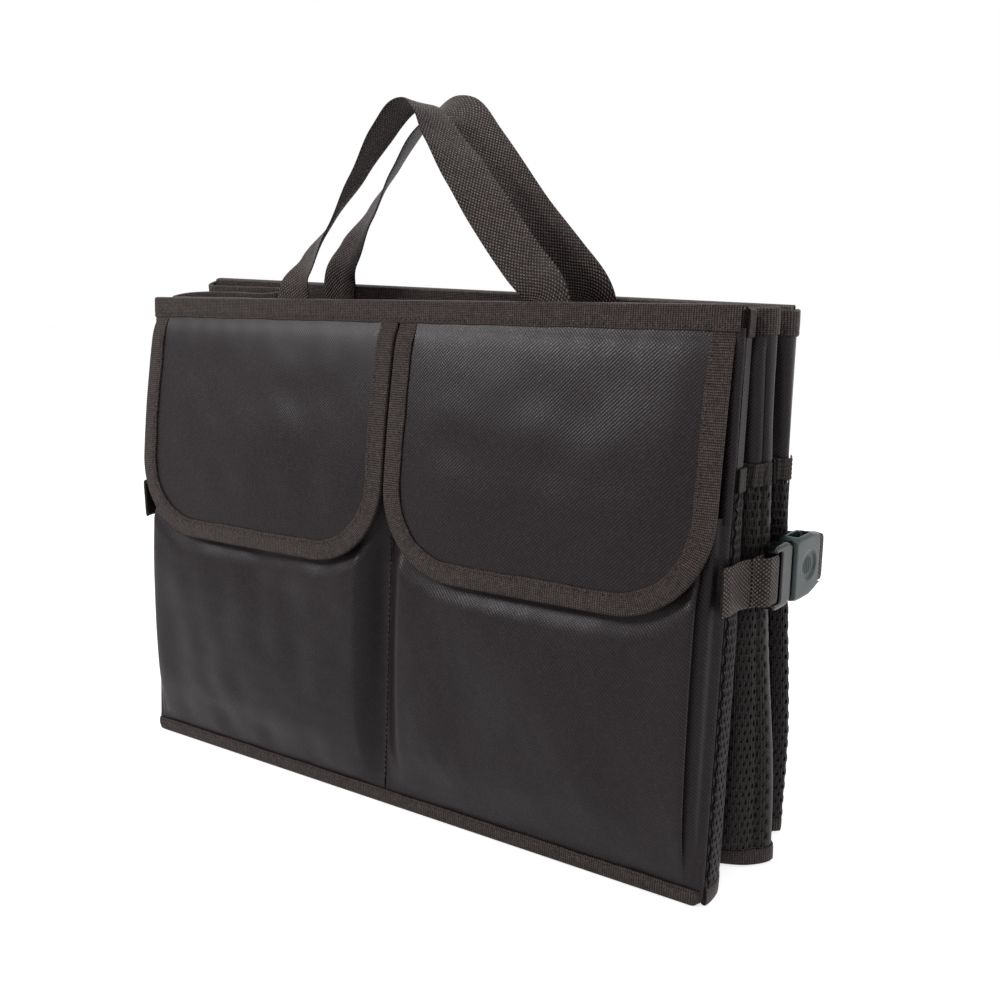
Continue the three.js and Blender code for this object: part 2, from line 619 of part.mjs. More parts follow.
// Handles: each leg is sewn inside its panel and turns on edge on its way to the top.
const SEWN_Y = PANEL_T + 2 * LAYER_GAP + TAPE_T + HANDLE_T / 2;
const sewnZ = PANEL_H - HANDLE_SEWN;
const TOP = PANEL_H;
const PEAK = HANDLE_RISE;
const frontHandle = [
  [-HANDLE_X, SEWN_Y - 0.9, sewnZ, 0], [-HANDLE_X, SEWN_Y, TOP - 14, 0],
  [-HANDLE_X + 3, SEWN_Y + 0.7, TOP + 5, 0], [-HANDLE_X + 11.5, SEWN_Y + 1.4, TOP + 21, -32],
  [-HANDLE_X + 30, SEWN_Y + 1.6, TOP + 45, -54], [-HANDLE_X + 51, SEWN_Y + 2.4, TOP + 72, -72],
  [-HANDLE_X + 69, SEWN_Y + 2.8, TOP + PEAK - 14.5, -86],
  [-HANDLE_X + 81, SEWN_Y + 3, TOP + PEAK - 2.5, -90], [0, SEWN_Y + 3, TOP + PEAK, -88],
  [HANDLE_END - 86, SEWN_Y + 3, TOP + PEAK - 4.5, -80],
  [HANDLE_END - 75, SEWN_Y + 2.6, TOP + PEAK - 19.5, -66], [HANDLE_END - 58, SEWN_Y + 2, TOP + 69, -46],
  [HANDLE_END - 40, SEWN_Y + 1.4, TOP + 46, -30], [HANDLE_END - 19.5, SEWN_Y + 0.6, TOP + 22, -16],
  [HANDLE_END - 4, SEWN_Y + 0.7, TOP + 5, 0], [HANDLE_END, SEWN_Y, TOP - 14, 0],
  [HANDLE_END, SEWN_Y - 0.9, sewnZ, 0],
];
named('front_handle', ribbon(frontHandle, HANDLE_W, HANDLE_T, 48), WEBBING, front);
const rearHandle = [
  [-HANDLE_X, -SEWN_Y + 0.9, sewnZ, 0], [-HANDLE_X, -SEWN_Y, TOP - 14, 0],
  [-HANDLE_X + 3, -SEWN_Y - 0.4, TOP + 4, 0], [-HANDLE_X + 12, -SEWN_Y - 0.4, TOP + 21, -24],
  [-HANDLE_X + 26.5, -SEWN_Y + 5, TOP + 44, -48], [-HANDLE_X + 44, -SEWN_Y + 11, TOP + 70, -68],
  [-HANDLE_X + 58, -SEWN_Y + 14, TOP + PEAK - 21.5, -74],
  [-HANDLE_X + 69, -SEWN_Y + 16, TOP + PEAK - 10.5, -68], [-10, -SEWN_Y + 17, TOP + PEAK - 6.5, -60],
  [HANDLE_END - 94, -SEWN_Y + 17, TOP + PEAK - 10, -53],
  [HANDLE_END - 82, -SEWN_Y + 14, TOP + PEAK - 23, -46], [HANDLE_END - 63.5, -SEWN_Y + 10, TOP + 66, -34],
  [HANDLE_END - 44, -SEWN_Y + 6, TOP + 44, -22], [HANDLE_END - 20, -SEWN_Y + 1.8, TOP + 21, -8],
  [HANDLE_END - 3, -SEWN_Y - 0.4, TOP + 3, 0], [HANDLE_END, -SEWN_Y, TOP - 14, 0],
  [HANDLE_END, -SEWN_Y + 0.9, sewnZ, 0],
];
named('rear_handle', ribbon(rearHandle, HANDLE_W, HANDLE_T, 48), WEBBING, back);

// Buckles. In a buckle's own frame X runs from the plug to the socket, Y up and Z out.
function solid(geometry) {
  const g = geometry.clone();
  g.deleteAttribute('normal');
  g.deleteAttribute('uv');
  const m = mergeVertices(g);
  return new wasm.Manifold(new wasm.Mesh({
    numProp: 3,
    vertProperties: new Float32Array(m.attributes.position.array),
    triVerts: new Uint32Array(m.index.array),
  }));
}
function fromSolid(s) {
  const m = s.getMesh();
  const geometry = new THREE.BufferGeometry();
  const pos = [];
  for (let k = 0; k < m.vertProperties.length; k += m.numProp) {
    pos.push(m.vertProperties[k], m.vertProperties[k + 1], m.vertProperties[k + 2]);
  }
  geometry.setAttribute('position', new THREE.Float32BufferAttribute(pos, 3));
  geometry.setIndex(Array.from(m.triVerts));
  geometry.computeVertexNormals();
  return geometry;
}
function plate(points, thickness, bevel, holes = []) {
  const shape = new THREE.Shape(points.map(([x, y]) => new THREE.Vector2(x, y)));
  for (const hole of holes) {
    shape.holes.push(new THREE.Path(hole.map(([x, y]) => new THREE.Vector2(x, y))));
  }
  const geometry = new THREE.ExtrudeGeometry(shape, {
    depth: thickness - 2 * bevel, bevelEnabled: bevel > 0, bevelThickness: bevel,
    bevelSize: bevel, bevelOffset: -bevel, bevelSegments: 2, curveSegments: 6,
  });
  geometry.translate(0, 0, -thickness / 2 + bevel);
  return geometry;
}
function box(x0, x1, y0, y1, z0, z1) {
  const geometry = new THREE.BoxGeometry(x1 - x0, y1 - y0, z1 - z0);
  geometry.translate((x0 + x1) / 2, (y0 + y1) / 2, (z0 + z1) / 2);
  return geometry;
}
// Outline mirrored about the X axis, from its upper half.
function both(points) {
  const lower = points.slice().reverse().map(([x, y]) => [x, -y]);
  return [...lower, ...points].reverse();
}
const HALF_B = BUCKLE_W / 2;
const SLOT_HALF = STRAP_W / 2 + 0.8;
const MOUTH_HALF = 12.6;
const CAVITY_T = 6.4;
const CAVITY_END = 46;

// The strap bars are thinner than the mouldings, so a strap lies flush over them.
function barCuts(x0, x1, depth) {
  return [-1, 1].map((dir) => box(x0, x1, -SLOT_HALF, SLOT_HALF,
    dir > 0 ? BAR_HALF : -depth, dir > 0 ? depth : -BAR_HALF));
}

function plugGeometry() {
  const frame = plate(both([
    [0, HALF_B - 3], [1, HALF_B - 1.2], [3, HALF_B - 0.4], [14, HALF_B - 0.4],
    [PLUG_BASE, HALF_B - 2.4],
  ]), PLUG_T, 1.2);
  const slot = box(BAR_T, BAR_T + SLOT_L, -SLOT_HALF, SLOT_HALF, -PLUG_T, PLUG_T);
  const y = MOUTH_HALF - PRONG_CLEAR;
  const prong = plate([
    [PLUG_BASE - 1, y - 4.6], [PLUG_BASE + 8, y - 3.4], [PLUG_BASE + 15, y - 3.2],
    [PLUG_BASE + 21, y - 4.4], [PLUG_BASE + 24, y - 3.4], [PLUG_BASE + 22, y - 1],
    [PLUG_BASE + 17, y], [PLUG_BASE + 12, y], [PLUG_BASE + 9.5, y - 0.9],
    [PLUG_BASE - 1, y - 1.6],
  ], CAVITY_T - 2 * PRONG_CLEAR, 0.5);
  const rail = box(PLUG_BASE - 1, PLUG_BASE + 21, -1.8, 1.8, -2.2, 2.2);
  const other = prong.clone();
  other.rotateX(Math.PI);
  let body = solid(frame).subtract(solid(slot));
  for (const piece of [prong, other, rail]) body = body.add(solid(piece));
  for (const cut of barCuts(-1, BAR_T + 0.01, PLUG_T)) body = body.subtract(solid(cut));
  return fromSolid(body);
}
function socketGeometry() {
  const start = PLUG_BASE + PRONG_CLEAR;
  const shell3 = plate(both([
    [start, HALF_B - 1.2], [start + 4, HALF_B - 0.2], [start + 9, HALF_B], [start + 20, HALF_B],
    [start + 26, HALF_B - 1.4], [SOCKET_END - 6, HALF_B - 3], [SOCKET_END - 1, HALF_B - 3.4],
    [SOCKET_END, HALF_B - 4.6],
  ]), BUCKLE_T, 1.8);
  const cavity = box(start - 1, CAVITY_END, -MOUTH_HALF, MOUTH_HALF, -CAVITY_T / 2, CAVITY_T / 2);
  const slot = box(SOCKET_END - BAR_T - SLOT_L, SOCKET_END - BAR_T, -SLOT_HALF, SLOT_HALF,
    -BUCKLE_T, BUCKLE_T);
  let body = solid(shell3).subtract(solid(cavity)).subtract(solid(slot));
  for (const dir of [-1, 1]) {
    const window = plate([
      [start + 7, MOUTH_HALF - 1], [start + 22, MOUTH_HALF - 1], [start + 24, HALF_B + 2],
      [start + 5, HALF_B + 2],
    ], CAVITY_T, 0);
    if (dir < 0) window.rotateX(Math.PI);
    body = body.subtract(solid(window));
  }
  for (const cut of barCuts(SOCKET_END - BAR_T - 0.01, SOCKET_END + 1, BUCKLE_T)) {
    body = body.subtract(solid(cut));
  }
  return fromSolid(body);
}
const plugShape = plugGeometry();
const socketShape = socketGeometry();

// Strap that lies in a plane of constant height: a path of [x, y] points, swept on edge.
function strap(path, side, spans) {
  const curve = new THREE.CatmullRomCurve3(path.map(([x, y]) => V(side * x, y, STRAP_Z)), false,
    'centripetal');
  const frames = steps(0, 1, spans).map((t) => {
    const tangent = curve.getTangent(t);
    return { p: curve.getPoint(t), a: V(0, 0, 1), b: tangent.cross(V(0, 0, 1)).normalize() };
  });
  const [w, h] = [STRAP_W / 2, STRAP_T / 2];
  return sweep([[-w, -h], [w, -h], [w, h], [-w, h]], frames);
}

const along = V(Math.sin(rad(BUCKLE_TURN)), Math.cos(rad(BUCKLE_TURN)), 0);
const outward = V(along.y, -along.x, 0);
const onBuckle = (d, n) => {
  const q = V(BUCKLE_X, BUCKLE_Y, 0).addScaledVector(along, d).addScaledVector(outward, n);
  return [q.x, q.y];
};
const WRAP = LAYER_GAP + STRAP_T / 2;
const REACH = BAR_HALF + WRAP; // from a bar's middle to the middle of a strap over it
// Strap once round a bar whose middle is d along the buckle, from its inner side; dir is
// 1 where the strap goes round the far side first.
function roundBar(d, dir) {
  const w = (BAR_T / 2 + WRAP) * dir;
  return [[w * 0.98, -1.5], [w * 1.02, 1.4], [w * 0.9, REACH - 0.12], [w * 0.4, REACH + 0.06],
    [-w * 0.4, REACH + 0.06], [-w * 0.9, REACH - 0.12], [-w * 1.02, 1.4], [-w * 0.98, -1.5]]
    .map(([x, n]) => onBuckle(d + x, n));
}
for (const [name, side] of [['left', -1], ['right', 1]]) {
  const group = new THREE.Group();
  group.position.set(side * BUCKLE_X, BUCKLE_Y, STRAP_Z);
  const basis = new THREE.Matrix4().makeBasis(V(side * along.x, along.y, 0), V(0, 0, side),
    V(side * outward.x, outward.y, 0));
  group.quaternion.setFromRotationMatrix(basis);
  organizer.add(group);
  named(`${name}_buckle_plug`, plugShape.clone(), PLUG, group);
  named(`${name}_buckle_socket`, socketShape.clone(), SOCKET, group);

  // Front strap, from the front panel's edge, round the plug's bar and back
  const frontPath = [
    [EDGE + 5.2, 6.5], [EDGE + 5.9, 11], [EDGE + 6.6, 19], [EDGE + 10.6, 27], onBuckle(-6, REACH - 0.4),
    onBuckle(-1.2, REACH), ...roundBar(BAR_T / 2, -1).slice(3, 6),
    onBuckle(BAR_T + WRAP + 0.1, -1.2), onBuckle(BAR_T + 0.6, -REACH + 0.1),
    onBuckle(BAR_T / 2, -REACH - 0.06), onBuckle(-2, -REACH), onBuckle(-8, -REACH),
    onBuckle(-13, -REACH + 0.3),
  ];
  named(`${name}_front_strap`, strap(frontPath, side, 26), WEBBING, organizer);

  // Rear strap, from the back panel's outer face, round the socket's bar and back
  const mid = SOCKET_END - BAR_T / 2;
  const slope = Math.tan(rad(BACK_LEAN));
  const corner = V(side * EDGE, 0, STRAP_Z).applyMatrix4(BACK);
  const backY = corner.y + (corner.z - STRAP_Z + STRAP_W / 2) * slope + 2 * LAYER_GAP + STRAP_T / 2;
  const edgeX = side * corner.x;
  const rearPath = [
    [edgeX - 22, backY], [edgeX - 6, backY], [edgeX + 4, backY + 0.8], [edgeX + 10, backY + 3.6],
    onBuckle(mid + BAR_T / 2 + WRAP - 0.4, -REACH - 1.6), ...roundBar(mid, 1),
    onBuckle(mid - BAR_T / 2 - WRAP - 0.3, -REACH - 0.6), onBuckle(mid - 5.2, -REACH - 3.6),
  ];
  named(`${name}_rear_strap`, strap(rearPath, side, 32), WEBBING, organizer);
}

// Move the model so that its origin is under the middle of its box, on the ground.
const extent = new THREE.Box3().setFromObject(organizer, true);
const centre = extent.getCenter(new THREE.Vector3());
organizer.position.set(-centre.x, -centre.y, -extent.min.z);
const part = new THREE.Group();
part.add(organizer);

export default part;
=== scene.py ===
import math

import bmesh
import bpy
import numpy as np
from mathutils import Matrix, Vector


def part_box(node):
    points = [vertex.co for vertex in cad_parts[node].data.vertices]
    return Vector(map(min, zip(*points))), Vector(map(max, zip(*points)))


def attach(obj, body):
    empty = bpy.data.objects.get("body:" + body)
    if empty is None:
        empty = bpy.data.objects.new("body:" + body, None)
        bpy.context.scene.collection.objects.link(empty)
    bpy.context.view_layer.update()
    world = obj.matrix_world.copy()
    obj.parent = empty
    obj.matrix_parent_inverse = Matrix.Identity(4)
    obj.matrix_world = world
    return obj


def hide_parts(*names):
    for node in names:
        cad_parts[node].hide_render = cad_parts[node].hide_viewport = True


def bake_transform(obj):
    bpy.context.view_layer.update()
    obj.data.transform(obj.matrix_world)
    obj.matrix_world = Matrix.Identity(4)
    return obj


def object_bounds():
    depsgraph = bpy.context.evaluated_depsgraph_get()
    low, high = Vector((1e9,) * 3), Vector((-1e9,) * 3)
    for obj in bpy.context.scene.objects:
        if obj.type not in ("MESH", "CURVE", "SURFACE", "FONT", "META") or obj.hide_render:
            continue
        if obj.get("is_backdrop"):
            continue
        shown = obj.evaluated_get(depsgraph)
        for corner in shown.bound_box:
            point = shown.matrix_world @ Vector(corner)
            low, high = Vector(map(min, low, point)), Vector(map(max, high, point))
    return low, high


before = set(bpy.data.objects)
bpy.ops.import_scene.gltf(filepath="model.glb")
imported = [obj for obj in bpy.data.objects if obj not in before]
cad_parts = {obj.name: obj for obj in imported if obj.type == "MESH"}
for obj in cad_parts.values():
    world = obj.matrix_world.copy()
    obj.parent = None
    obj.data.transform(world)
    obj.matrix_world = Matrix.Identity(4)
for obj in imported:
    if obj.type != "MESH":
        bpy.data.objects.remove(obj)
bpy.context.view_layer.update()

# Sizes of the part's source, in millimetres.
PANEL_W, PANEL_H = 400.0, 300.0
FABRIC_T, BOARD_T, LINING_T, LAYER_GAP = 1.0, 3.0, 0.8, 0.3
FRONT_LEAN, BACK_LEAN, DIVIDER_LEAN = 4.35, 6.3, 3.24
STACK_Y, DIVIDER_Y, DIVIDER_W, DIVIDER_H, BACK_ROLL, DIVIDER_ROLL = 106.0, 61.0, 388.0, 295.0, 2.0, 0.4
TAPE_T, TAPE_W, HEM_W = 0.9, 12.0, 8.0
FLAP_SPLIT_X, FLAP_GAP, FLAP_EDGE, FLAP_LOW, FLAP_CORNER = 3.0, 1.2, 1.5, 147.0, 50.0
POCKET_TOP, POCKET_SEAM_X = 200.0, 0.4
WALL_T, WALL_OUT, VALLEY_X = 1.0, 2.0, 128.0
RIDGE_OUT_LOW, RIDGE_OUT_STRAP, RIDGE_OUT_TOP, REAR_BULGE = 18.5, 10.0, 7.7, 11.5
NET_LOW, NET_TOP, ELASTIC_H = 10.6, 212.0, 12.0
BASE_T, BASE_L, BASE_H = 2.5, 372.0, 150.0
HANDLE_W, HANDLE_T, HANDLE_SEWN, HANDLE_X, HANDLE_END = 25.0, 1.5, 46.0, 90.0, 95.0
STRAP_W, STRAP_T, STRAP_Z = 25.0, 1.6, 166.0
BUCKLE_X, BUCKLE_Y, BUCKLE_TURN = 214.6, 37.5, 8.0
SOCKET_END, BAR_T, BAR_HALF = 58.0, 3.0, 2.0
EDGE = PANEL_W / 2
PANEL_T = FABRIC_T + BOARD_T + LINING_T + 2 * LAYER_GAP
DIV_T = 2 * FABRIC_T + BOARD_T + 2 * LAYER_GAP
HALF_DIV = DIV_T / 2
WALL_X = EDGE + WALL_OUT
LIFT = LAYER_GAP + TAPE_T
FRONT_SIN = math.sin(math.radians(FRONT_LEAN))
SHIFT_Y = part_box("front_panel_fabric")[0].y * 1000 - LIFT * FRONT_SIN


# Small tools
def panel_matrix(lean, y0, roll, pivot):
    """A panel's place: leaning back, and rolled about its lower right corner."""
    return np.array(
        Matrix.Translation((pivot, y0, 0))
        @ Matrix.Rotation(math.radians(-lean), 4, "X")
        @ Matrix.Rotation(math.radians(roll), 4, "Y")
        @ Matrix.Translation((-EDGE, 0, 0))
    )


FRONT = panel_matrix(FRONT_LEAN, 0, 0, EDGE)
MIDDLE = panel_matrix(-DIVIDER_LEAN, DIVIDER_Y, DIVIDER_ROLL, EDGE - 0.5)
BACK = panel_matrix(-BACK_LEAN, STACK_Y, BACK_ROLL, EDGE - 1)
SAME = np.eye(4)


def place(m, p):
    """Points of a panel's own frame, in the frame of the part."""
    return np.asarray(p, float) @ m[:3, :3].T + m[:3, 3]


def unit(v):
    return v / np.maximum(np.linalg.norm(v, axis=-1, keepdims=True), 1e-12)


def smooth(x, a, b):
    t = np.clip((np.asarray(x, float) - a) / (b - a), 0, 1)
    return t * t * (3 - 2 * t)


def mix(a, b, t):
    return a + (b - a) * t


WAVES = 9


def waves(u, v, size, seed, stretch=1.0):
    """Random soft wrinkles, about one high, with waves of about the given length."""
    rng = np.random.default_rng(seed)
    total = 0.0
    for _ in range(WAVES):
        a, ph = rng.uniform(0, math.tau, 2)
        length = size * rng.uniform(0.7, 1.6)
        total = total + np.sin(math.tau * (u * math.cos(a) + v * math.sin(a) / stretch) / length + ph)
    return total / math.sqrt(WAVES)


def track(pairs):
    """Smooth function through pairs of place and value, level beyond its ends."""
    s, v = np.array(pairs, float).T
    n = len(s)
    after = np.minimum(np.arange(n) + 1, n - 1)
    before = np.maximum(np.arange(n) - 1, 0)
    slope = (v[after] - v[before]) / (s[after] - s[before])

    def at(x):
        x = np.asarray(x, float)
        k = np.clip(np.searchsorted(s, x, side="left") - 1, 0, n - 2)
        h = s[k + 1] - s[k]
        t = np.clip((x - s[k]) / h, 0, 1)
        t2, t3 = t * t, t * t * t
        return (v[k] * (2 * t3 - 3 * t2 + 1) + h * slope[k] * (t3 - 2 * t2 + t)
                + v[k + 1] * (3 * t2 - 2 * t3) + h * slope[k + 1] * (t3 - t2))

    return at


def catmull(points, ts):
    """Centripetal curve through points, at ts from 0 to 1."""
    p = np.asarray(points, float)
    n = len(p) - 1
    f = np.clip(np.asarray(ts, float), 0, 1) * n
    k = np.minimum(f.astype(int), n - 1)
    w = (f - k)[:, None]
    padded = np.vstack([2 * p[0] - p[1], p, 2 * p[-1] - p[-2]])
    p0, p1, p2, p3 = padded[k], padded[k + 1], padded[k + 2], padded[k + 3]
    step = lambda a, b: np.maximum(np.sum((a - b) ** 2, axis=1) ** 0.25, 1e-4)[:, None]
    d0, d1, d2 = step(p0, p1), step(p1, p2), step(p2, p3)
    t1 = ((p1 - p0) / d0 - (p2 - p0) / (d0 + d1) + (p2 - p1) / d1) * d1
    t2 = ((p2 - p1) / d1 - (p3 - p1) / (d1 + d2) + (p3 - p2) / d2) * d1
    return (p1 + t1 * w + (-3 * p1 + 3 * p2 - 2 * t1 - t2) * w ** 2
            + (2 * p1 - 2 * p2 + t1 + t2) * w ** 3)


def grid_normals(p):
    return unit(np.cross(np.gradient(p, axis=1), np.gradient(p, axis=0)))


def lengths(p):
    return np.concatenate([[0.0], np.cumsum(np.linalg.norm(np.diff(p, axis=0), axis=1))])


def linked(name, data):
    """New object in the scene."""
    obj = bpy.data.objects.new(name, data)
    bpy.context.scene.collection.objects.link(obj)
    return obj


def sample(at, s, g):
    """Values of a row of points at the given lengths along it."""
    return np.stack([np.interp(at, s, g[:, i]) for i in range(3)], -1)


def add(name, verts, faces, mat, uvs, sharp=None):
    """New piece from points in millimetres, with its UV map in metres."""
    v = np.array(verts, float).reshape(-1, 3)
    v[:, 1] += SHIFT_Y
    v *= 0.001
    mesh = bpy.data.meshes.new(name)
    mesh.from_pydata(v.tolist(), [], faces if isinstance(faces, list) else faces.tolist())
    layer = mesh.uv_layers.new(name="UVMap")
    index = np.zeros(len(mesh.loops), np.int32)
    mesh.loops.foreach_get("vertex_index", index)
    layer.data.foreach_set("uv", (np.asarray(uvs, float)[index] * 0.001).astype(np.float32).ravel())
    bm = bmesh.new()
    bm.from_mesh(mesh)
    bmesh.ops.recalc_face_normals(bm, faces=bm.faces)
    bm.to_mesh(mesh)
    bm.free()
    mesh.polygons.foreach_set("use_smooth", [True] * len(mesh.polygons))
    if sharp:
        mesh.set_sharp_from_angle(angle=math.radians(sharp))
    mesh.materials.append(mat)
    mesh.update()
    return linked(name, mesh)


def shell(outer, inner, uv):
    """Closed sheet between two grids of points."""
    nv, nu = outer.shape[:2]
    n = nv * nu
    idx = np.arange(n).reshape(nv, nu)
    a, b, c, d = idx[:-1, :-1], idx[:-1, 1:], idx[1:, 1:], idx[1:, :-1]
    top = np.stack([a, b, c, d], -1).reshape(-1, 4)
    ring = np.concatenate([idx[0, :], idx[1:, -1], idx[-1, -2::-1], idx[-2:0:-1, 0]])
    nxt = np.roll(ring, -1)
    faces = np.concatenate([top, top[:, ::-1] + n, np.stack([ring, ring + n, nxt + n, nxt], -1)])
    verts = np.concatenate([outer.reshape(-1, 3), inner.reshape(-1, 3)])
    return verts, faces, np.concatenate([uv.reshape(-1, 2)] * 2)


def cloth(name, p, thick, uv, mat, m=SAME):
    """Closed sheet of the given thickness about a grid of points."""
    n = grid_normals(p)
    verts, faces, uvs = shell(place(m, p + n * thick / 2), place(m, p - n * thick / 2), uv)
    return add(name, verts, faces, mat, uvs, sharp=50)


def sweep(name, sections, p, a, b, mat, m=SAME, sharp=38):
    """Closed bar: sections are (frames, points, 2) in the axes a and b at each p."""
    s = np.asarray(sections, float)
    if s.ndim == 2:
        s = np.broadcast_to(s, (len(p),) + s.shape)
    n, k = s.shape[:2]
    v = p[:, None, :] + s[..., :1] * a[:, None, :] + s[..., 1:] * b[:, None, :]
    along = lengths(p)
    loop = np.vstack([s[n // 2], s[n // 2][:1]])
    around = np.concatenate([[0.0], np.cumsum(np.linalg.norm(np.diff(loop, axis=0), axis=1))])[:-1]
    uv = np.stack(np.broadcast_arrays(along[:, None], around[None, :]), -1)
    idx = np.arange(n * k).reshape(n, k)
    nxt = np.roll(idx, -1, axis=1)
    faces = np.stack([idx[:-1], nxt[:-1], nxt[1:], idx[1:]], -1).reshape(-1, 4).tolist()
    faces += [idx[0, ::-1].tolist(), idx[-1].tolist()]
    return add(name, place(m, v.reshape(-1, 3)), faces, mat, uv.reshape(-1, 2), sharp=sharp)


ROOT = "organizer"


def finish(obj, body=ROOT, nodes=()):
    """Hides the CAD nodes that the piece stands for, and hangs the piece under its body's empty."""
    if nodes:
        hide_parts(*nodes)
    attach(obj, body)


# Materials
class Nodes:
    """A material's node tree, with short ways to add to it."""

    def __init__(self, name):
        self.mat = bpy.data.materials.new(name)
        self.mat.use_nodes = True
        self.tree = self.mat.node_tree
        self.tree.nodes.clear()
        self.out = self.new("ShaderNodeOutputMaterial")
        self.bsdf = self.new("ShaderNodeBsdfPrincipled")
        self.link(self.bsdf.outputs[0], self.out.inputs[0])

    def new(self, kind, **values):
        node = self.tree.nodes.new(kind)
        for k, v in values.items():
            setattr(node, k, v)
        return node

    def link(self, a, b):
        self.tree.links.new(a, b)

    def put(self, socket, value):
        if isinstance(value, bpy.types.NodeSocket):
            self.link(value, socket)
        else:
            socket.default_value = value

    def math(self, op, a, b=None, c=None):
        node = self.new("ShaderNodeMath", operation=op)
        for i, x in enumerate((a, b, c)):
            if x is not None:
                self.put(node.inputs[i], x)
        return node.outputs[0]

    def blend(self, a, ka, b, kb):
        return self.math("MULTIPLY_ADD", a, ka, self.math("MULTIPLY", b, kb))

    def uv(self):
        node = self.new("ShaderNodeUVMap", uv_map="UVMap")
        parts = self.new("ShaderNodeSeparateXYZ")
        self.link(node.outputs[0], parts.inputs[0])
        return parts.outputs[0], parts.outputs[1]

    def position(self):
        return self.new("ShaderNodeTexCoord").outputs["Object"]

    def noise(self, vector, scale, detail):
        node = self.new("ShaderNodeTexNoise")
        self.put(node.inputs["Vector"], vector)
        self.put(node.inputs["Scale"], scale)
        self.put(node.inputs["Detail"], detail)
        return node.outputs["Fac"]

    def remap(self, x, a, b, c, d):
        node = self.new("ShaderNodeMapRange")
        self.put(node.inputs[0], x)
        for i, v in enumerate((a, b, c, d)):
            node.inputs[i + 1].default_value = v
        return node.outputs[0]

    def mix(self, t, a, b):
        node = self.new("ShaderNodeMix", data_type="RGBA")
        self.put(node.inputs[0], t)
        for socket, value in ((node.inputs[6], a), (node.inputs[7], b)):
            self.put(socket, value if isinstance(value, bpy.types.NodeSocket) else (*value, 1.0))
        return node.outputs[2]

    def bump(self, height, distance, strength, after=None):
        node = self.new("ShaderNodeBump")
        node.inputs["Strength"].default_value = strength
        node.inputs["Distance"].default_value = distance
        self.link(height, node.inputs["Height"])
        if after is not None:
            self.link(after, node.inputs["Normal"])
        return node.outputs[0]

    def wave(self, x, pitch, phase=0.0):
        """Sine of a length in metres with the given pitch in metres, from 0 to 1."""
        s = self.math("SINE", self.math("MULTIPLY_ADD", x, math.tau / pitch, phase))
        return self.math("MULTIPLY_ADD", s, 0.5, 0.5)


def linear(*rgb):
    """Linear colour of a screen colour from 0 to 255."""
    return tuple((c / 255 / 12.92) if c <= 10 else ((c / 255 + 0.055) / 1.055) ** 2.4 for c in rgb)


def shade(color, k):
    return tuple(c * k for c in color)


HALF_TURN = 0.7071  # sine and cosine of the twill's 45 degrees
PLASTIC_GLOSS = 0.3


def cloth_material(name, color, crown, pitch, depth, rough, kind, gloss, specks):
    """Cloth whose weave follows the UV map, with dark ground and a painted highlight on its thread crowns."""
    n = Nodes(name)
    u, v = n.uv()
    if kind == "twill":
        slant = n.blend(u, -HALF_TURN, v, HALF_TURN)
        across = n.blend(u, HALF_TURN, v, HALF_TURN)
        weave = n.blend(n.wave(across, pitch * 0.8), 0.35, n.wave(slant, pitch), 0.65)
    elif kind == "rib":
        weave = n.blend(n.wave(v, pitch * 0.7), 0.45, n.wave(u, pitch), 0.55)
    elif kind == "dots":
        cells = n.math("MULTIPLY", n.wave(u, pitch), n.wave(v, pitch * 0.8))
        other = n.math("MULTIPLY", n.wave(u, pitch, math.pi), n.wave(v, pitch * 0.8, math.pi))
        weave = n.remap(n.math("ADD", cells, other), 0.3, 0.95, 0.0, 1.0)
    else:
        weave = n.blend(n.wave(u, pitch), 0.5, n.wave(v, pitch), 0.5)
    pos = n.position()
    cloud = n.noise(pos, 14.0, 3.0)
    grain = n.noise(pos, 1500.0, 2.0)
    thick = n.noise(pos, 420.0, 2.0)
    base = n.mix(n.remap(cloud, 0.3, 0.7, 0.0, 1.0), shade(color, 0.85), shade(color, 1.2))
    # Painted highlight: where the weave's threads rise, the colour turns to the lighter crown colour, more in
    # some patches than in others
    crown_highlight = n.math("MULTIPLY", n.remap(weave, 0.35, 0.95, 0.0, 1.0), n.remap(thick, 0.3, 0.7, 0.35, 1.0))
    both = n.mix(crown_highlight, base, crown)
    speck = n.mix(n.remap(grain, 0.56, 0.74, 0.0, specks), both, shade(crown, 1.3))
    n.link(speck, n.bsdf.inputs["Base Color"])
    n.link(n.remap(grain, 0.3, 0.7, rough - 0.08, min(rough + 0.1, 1.0)), n.bsdf.inputs["Roughness"])
    n.bsdf.inputs["Specular IOR Level"].default_value = gloss
    first = n.bump(grain, 0.0001, 0.6)
    n.link(n.bump(weave, depth, 0.9, first), n.bsdf.inputs["Normal"])
    return n.mat


def plastic_material(name, color, rough, scratch):
    n = Nodes(name)
    pos = n.position()
    cloud = n.noise(pos, 60.0, 3.0)
    fine = n.noise(pos, 2600.0, 1.0)
    n.link(n.mix(cloud, shade(color, 0.85), shade(color, 1.2)), n.bsdf.inputs["Base Color"])
    n.link(n.remap(cloud, 0.3, 0.7, rough, rough + scratch), n.bsdf.inputs["Roughness"])
    n.bsdf.inputs["Specular IOR Level"].default_value = PLASTIC_GLOSS
    n.link(n.bump(fine, 0.00003, 0.35), n.bsdf.inputs["Normal"])
    return n.mat
